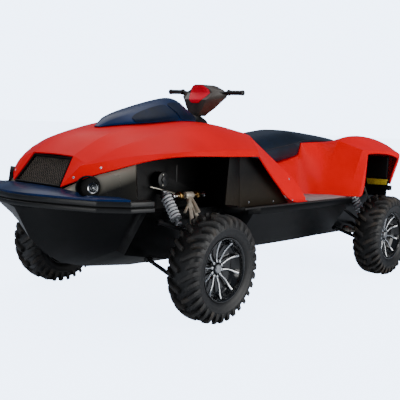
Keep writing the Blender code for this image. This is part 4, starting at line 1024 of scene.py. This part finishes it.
def make_lamps():
    """Round lamps: a dark bezel, a deep cup, and a small bright ring with its lens off centre."""
    across = Vector((-LAMP_AXIS.y, LAMP_AXIS.x, 0)).normalized()
    for name, finish, shift, profile in LAMP_PIECES:
        item = smoothed(turned(name, profile, 48, LAMP_AXIS), 30)
        item.data.transform(Matrix.Translation(LAMP_CENTRE + across * shift))
        paired(item, finish, *sides_of("headlamp"))


SPRING_RADIUS = 0.029
SPRING_WIRE = 0.0064
SPRING_STEPS = 14
DAMPERS = (
    ("front", Vector((0.985, 0.355, 0.725)), Vector((0.995, 0.486, 0.5551)), 7),
    ("rear", Vector((-1.14, 0.4049, 0.72)), Vector((-1.23, 0.55, 0.4069)), 10),
)


def make_dampers():
    """Coil-overs: a silver spring on a dark body with perches, a bright rod and an eye at each end."""
    for axle, top, foot, coils in DAMPERS:
        nodes = sides_of(axle + "_damper")
        run = foot - top
        aim = run.normalized()
        first = aim.cross(Vector((1, 0, 0))).normalized()
        second = aim.cross(first)
        wind = []
        for i in range(coils * SPRING_STEPS + 1):
            share = i / (coils * SPRING_STEPS)
            turn = 2 * pi * coils * share
            along = run * (0.13 + 0.7 * share)
            wind.append(top + along + (first * cos(turn) + second * sin(turn)) * SPRING_RADIUS)
        paired(pipe("spring_" + axle, wind, SPRING_WIRE, 12), SPRING, *nodes)
        half_eye = Vector((0.018, 0, 0))
        body = [
            round_bar("body", top + run * 0.1, top + run * 0.62, 0.017, 24, 0.002),
            round_bar("perch", top + run * 0.085, top + run * 0.125, 0.035, 32, 0.002),
            round_bar("perch", top + run * 0.835, top + run * 0.87, 0.035, 32, 0.002),
            round_bar("eye", top - half_eye, top + half_eye, 0.0135, 24, 0.002),
            round_bar("eye", foot - half_eye, foot + half_eye, 0.0135, 24, 0.002),
            round_bar("neck", top, top + run * 0.1, 0.01, 20),
            round_bar("neck", foot, foot - run * 0.13, 0.01, 20),
        ]
        paired(joined("damper_body_" + axle, body), CAST, *nodes)
        rod = round_bar("damper_rod_" + axle, top + run * 0.6, foot - run * 0.1, 0.0075, 20)
        paired(rod, ALUMINIUM, *nodes)


def make_fairings():
    """The lamp fairings, bored out for the lamps' bezels."""
    for side, sign in SIDES:
        item = clean_copy("lamp_fairing_" + side, "fairing_" + side)
        flip = Vector((1, sign, 1))
        start, end = (LAMP_CENTRE - LAMP_AXIS * 0.044) * flip, (LAMP_CENTRE + LAMP_AXIS * 0.1) * flip
        bore = round_bar("bore", start, end, LAMP_BORE, 48)
        cut = item.modifiers.new("bore", "BOOLEAN")
        cut.operation = "DIFFERENCE"
        cut.solver = "EXACT"
        cut.object = bore
        applied(item)
        bpy.data.objects.remove(bore)
        placed(rounded(item, 0.0015, 2, 35), OLIVE, "root", "lamp_fairing_" + side)


BEAD_LINE = (
    (0.548, 0.632, 0.626), (0.535, 0.636, 0.632), (0.38, 0.637, 0.632), (-0.3, 0.645, 0.631),
    (-0.78, 0.634, 0.632),
)
# Outlines in the arches: the front flange as x and z, the rear strip and its backing as y and z
FLANGE = ((0.505, 0.636), (0.645, 0.652), (0.625, 0.962), (0.525, 0.955))
STRIP = ((0.425, 0.742), (0.618, 0.745), (0.606, 0.7), (0.442, 0.691))
BACKING = ((0.415, 0.75), (0.628, 0.753), (0.616, 0.69), (0.432, 0.683))


def make_trim():
    """The gunwale's grey bead, the blank strip and the box in the rear arch, and the arch's stay."""
    flange = plate("arch_flange", [(x, 0.547, z) for x, z in FLANGE], (0, 0.006, 0), 0.001)
    paired(flange, PANEL)
    paired(pipe("gunwale_bead", BEAD_LINE, 0.0065, 12, False, True), GREY)
    strip = plate("arch_strip", [(-1.44, y, z) for y, z in STRIP], (-0.003, 0, 0), 0.0008)
    paired(strip, YELLOW)
    carrier = box("arch_box", (-1.5, 0.449, 0.655), (-1.443, 0.632, 0.694), 0.004)
    backing = plate("arch_backing", [(-1.4435, y, z) for y, z in BACKING], (-0.01, 0, 0), 0.002)
    paired(joined("arch_box", [carrier, backing]), PLASTIC)
    paired(round_bar("arch_stay", (-1.058, 0.572, 0.766), (-1.2, 0.572, 0.6), 0.0065, 16, 0.001), STEEL)


def make_arch_gear():
    """What shows inside the front arch: a pump's drum with two screws, a rod, a strap and a link's legs."""
    drum = round_bar("arch_drum", (1.0, 0.312, 0.8), (1.0, 0.362, 0.8), 0.046, 40, 0.005)
    hub = round_bar("arch_hub", (1.0, 0.36, 0.8), (1.0, 0.37, 0.8), 0.02, 24, 0.003)
    paired(joined("arch_drum", [drum, hub]), POWDER)
    bright = []
    for z in (0.831, 0.767):
        bright.append(round_bar("arch_screw", (1.009, 0.36, z), (1.009, 0.367, z), 0.0045, 12, 0.001))
    bright.append(round_bar("arch_rod", (1.097, 0.345, 0.76), (0.88, 0.345, 0.714), 0.0055, 16, 0.001))
    paired(joined("arch_fittings", bright), STEEL)
    paired(box("arch_strap", (0.878, 0.356, 0.783), (0.89, 0.36, 0.885), 0.001), GREY)
    legs = []
    for knee, foot in (
        ((0.8, 0.395, 0.66), (0.9, 0.452, 0.612)), ((0.752, 0.395, 0.655), (0.772, 0.455, 0.604)),
    ):
        legs.append(pipe("link_leg", ((0.742, 0.352, 0.69), knee, foot), 0.0085, 12))
    paired(joined("link_legs", legs), LINK)


PIVOT_Y = 0.345
PIVOT_Z = 0.695


def on_pivot(name, start, end, radius, sides=24, bevel=0.002):
    """A ring about the front pivot shaft, between two places along it."""
    return round_bar(name, (start, PIVOT_Y, PIVOT_Z), (end, PIVOT_Y, PIVOT_Z), radius, sides, bevel)


def make_bushes():
    """Brass bushes with steel caps and a clamp on the front pivot shafts."""
    brass = []
    for x in (0.675, 0.835):
        brass.append(on_pivot("bush", x - 0.015, x + 0.015, 0.0255, 32))
        brass.append(on_pivot("bush", x - 0.022, x + 0.022, 0.015, 24, 0.001))
    paired(joined("pivot_bushes", brass), BRASS)
    steel = [
        on_pivot("cap", 0.604, 0.62, 0.0185), on_pivot("cap", 0.888, 0.904, 0.0185),
        on_pivot("clamp", 0.732, 0.752, 0.0205),
    ]
    paired(joined("pivot_caps", steel), ALUMINIUM)


COLUMN_FOOT = Vector((0.305, 0, 1.155))
COLUMN_TOP = Vector((0.215, 0, 1.345))


def make_boot():
    """A black rubber boot round the foot of the steering column."""
    line = (
        (0.11, -0.055), (0.1, -0.012), (0.08, 0.008), (0.058, 0.02), (0.05, 0.019), (0.07, -0.055),
        (0.11, -0.055),
    )
    item = smoothed(turned("column_boot", line, 40, COLUMN_TOP - COLUMN_FOOT), 40)
    item.data.transform(Matrix.Translation(COLUMN_FOOT))
    placed(item, RUBBER)


# Where the screws sit: on the red skins by their nearest point, and on the side panels by x and z
SCREWS = {
    "front_body_skin": (
        (1.61, 0.262, 0.83), (1.493, 0.356, 0.88), (1.36, 0.434, 0.918), (-0.011, 0.62, 0.651),
        (-0.172, 0.62, 0.647), (-0.002, 0.62, 0.805),
    ),
    "rear_body_skin": ((-0.79, 0.42, 0.65), (-0.88, 0.52, 0.655), (-0.945, 0.6, 0.655)),
}
PANEL_SCREWS = ((0.401, 0.653), (0.125, 0.644))
PANEL_Y = 0.5535


def make_screws():
    """Domed zinc screw heads with their washers, along the lower edges."""
    head_line = (
        (0, 0.0032), (0.0028, 0.0028), (0.0048, 0.0012), (0.0052, 0.0004), (0.0072, 0.0002),
        (0.0072, -0.001), (0, -0.001),
    )
    head = smoothed(turned("screw", head_line, 20, (0, 0, 1)), 30)
    seats = []
    for name, points in SCREWS.items():
        for point in points:
            seats.append(bpy.data.objects[name].closest_point_on_mesh(Vector(point))[1:3])
    seats += [(Vector((x, PANEL_Y, z)), Vector((0, 1, 0))) for x, z in PANEL_SCREWS]
    heads = []
    for spot, normal in seats:
        turn = normal.to_track_quat("Z", "Y").to_matrix().to_4x4()
        heads.append(copied(head, Matrix.Translation(spot) @ turn))
    bpy.data.objects.remove(head)
    paired(joined("screws", heads), ZINC)


BODY_OF = {
    "handlebar": "steering", "nacelle": "steering", "nacelle_pad": "steering", "steering_rack": "rack",
    "knuckle_left": "knuckle_left_body", "knuckle_right": "knuckle_right_body",
    "jet_nozzle": "nozzle", "reverse_bucket": "bucket",
    "half_shaft_left": "wheel_rear_left", "half_shaft_right": "wheel_rear_right",
}


def eased(node, finish, width, angle=25):
    """A solid that keeps its shape, with its edges rounded off."""
    item = rounded(clean_copy(node, node + "_eased"), width, 2, angle)
    placed(item, finish, BODY_OF.get(node, "root"), node)


def make_eased():
    """Each finish with its edges' width and the solids that wear it. A star stands for left and right."""
    plan = (
        (BLACK, 0.006, "hull"),
        (RUBBER, 0.003, "bow_lip"),
        (NAVY, 0.003, "bow_deck"),
        (PLASTIC, 0.004, "front_frame console arch_liner*"),
        (PANEL, 0.002, "side_panel*"),
        (MAT, 0.003, "footboard*"),
        (NACELLE, 0.006, "nacelle"),
        (PAD, 0.004, "nacelle_pad"),
        (POWDER, 0.0015, "handlebar steering_rack upper_wishbone* lower_wishbone* rear_arm* engine_block"),
        (CAST, 0.002, "knuckle* jet_nozzle reverse_bucket"),
        (STEEL, 0.0015, "half_shaft*"),
        (LINK, 0.0015, "lift_link*"),
        (STEEL, 0.001, "pivot_shaft*"),
        (TAIL, 0.002, "tail_lamp*"),
    )
    for finish, width, names in plan:
        for name in names.split():
            for node in sides_of(name[:-1]) if name.endswith("*") else (name,):
                eased(node, finish, width)


make_front_body()
make_rear_body()
make_cowl()
make_seat()
make_tyres()
make_rims()
make_eased()
make_arch_walls()
make_grille()
make_lamps()
make_fairings()
make_dampers()
make_trim()
make_boot()
make_arch_gear()
make_bushes()
make_screws()


# Studio: how strongly the paper and the sky show, how much light the sky gives, and their tint
PAPER_GLOW = 6.6
SKY_LIGHT = 0.24
SKY_SEEN = 7.6
SKY_TINT = "CDDFFA"
PAPER_SIZE = 160


def make_camera():
    """The photo's own view: its place, heading, pitch and roll, solved from the wheels and the hull."""
    heading, pitch, roll = radians(129.62), radians(-6.27), radians(2.72)
    back = Vector((sin(heading) * cos(pitch), -cos(heading) * cos(pitch), -sin(pitch)))
    right = Vector((cos(heading), sin(heading), 0))
    up = back.cross(right)
    right, up = right * cos(roll) + up * sin(roll), up * cos(roll) - right * sin(roll)
    lens = bpy.data.cameras.new("camera")
    lens.lens = 65.3
    lens.sensor_width = 36
    camera = bpy.data.objects.new("camera", lens)
    bpy.context.scene.collection.objects.link(camera)
    turn = Matrix((right, up, back)).transposed().to_4x4()
    camera.matrix_world = Matrix.Translation((4.13, 3.236, 1.157)) @ turn
    bpy.context.scene.camera = camera


def studio_paper():
    """Seamless paper that burns out to near white in the lens, as it does in a high-key studio."""
    made = surface("studio_paper", None, ("E9EEF5", "ECF1F8"), (0.9, 0.95), 900, 40, 0.0)
    tree = made.node_tree
    shader = tree.nodes["Principled BSDF"]
    path = add(tree, "LightPath")
    burn = add(tree, "Math", {0: path.outputs["Is Camera Ray"], 1: PAPER_GLOW}, operation="MULTIPLY")
    shader.inputs["Emission Color"].default_value = linear(SKY_TINT)
    tree.links.new(burn.outputs["Value"], shader.inputs["Emission Strength"])
    return made


def make_studio():
    """A pale floor and sky with three soft boxes: overhead, ahead and on the left."""
    deselect()
    bpy.ops.mesh.primitive_plane_add(size=PAPER_SIZE)
    floor = started("floor")
    floor.data.materials.append(studio_paper())
    world = bpy.data.worlds.new("sky")
    world.use_nodes = True
    tree = world.node_tree
    sky = tree.nodes["Background"]
    sky.inputs["Color"].default_value = linear(SKY_TINT)
    path = add(tree, "LightPath")
    level = add(tree, "MapRange", {
        "Value": path.outputs["Is Camera Ray"], "To Min": SKY_LIGHT, "To Max": SKY_SEEN,
    })
    tree.links.new(level.outputs["Result"], sky.inputs["Strength"])
    bpy.context.scene.world = world
    for name, size, spot, aim, power in (
        ("top_box", 5.5, (0.6, -1.6, 4.8), (0.3, 0, 0.6), 150),
        ("front_box", 2.4, (6.0, 1.2, 1.6), (0.8, 0, 0.6), 70),
        ("side_box", 4.6, (-1.2, 6.3, 2.4), (-0.2, 0, 0.6), 310),
    ):
        lamp = bpy.data.lights.new(name, "AREA")
        lamp.size = size
        lamp.energy = power
        lamp.color = (1.0, 0.99, 0.97)
        light = bpy.data.objects.new(name, lamp)
        light.location = spot
        light.rotation_euler = (Vector(aim) - Vector(spot)).to_track_quat("-Z", "Y").to_euler()
        bpy.context.scene.collection.objects.link(light)


make_studio()
make_camera()
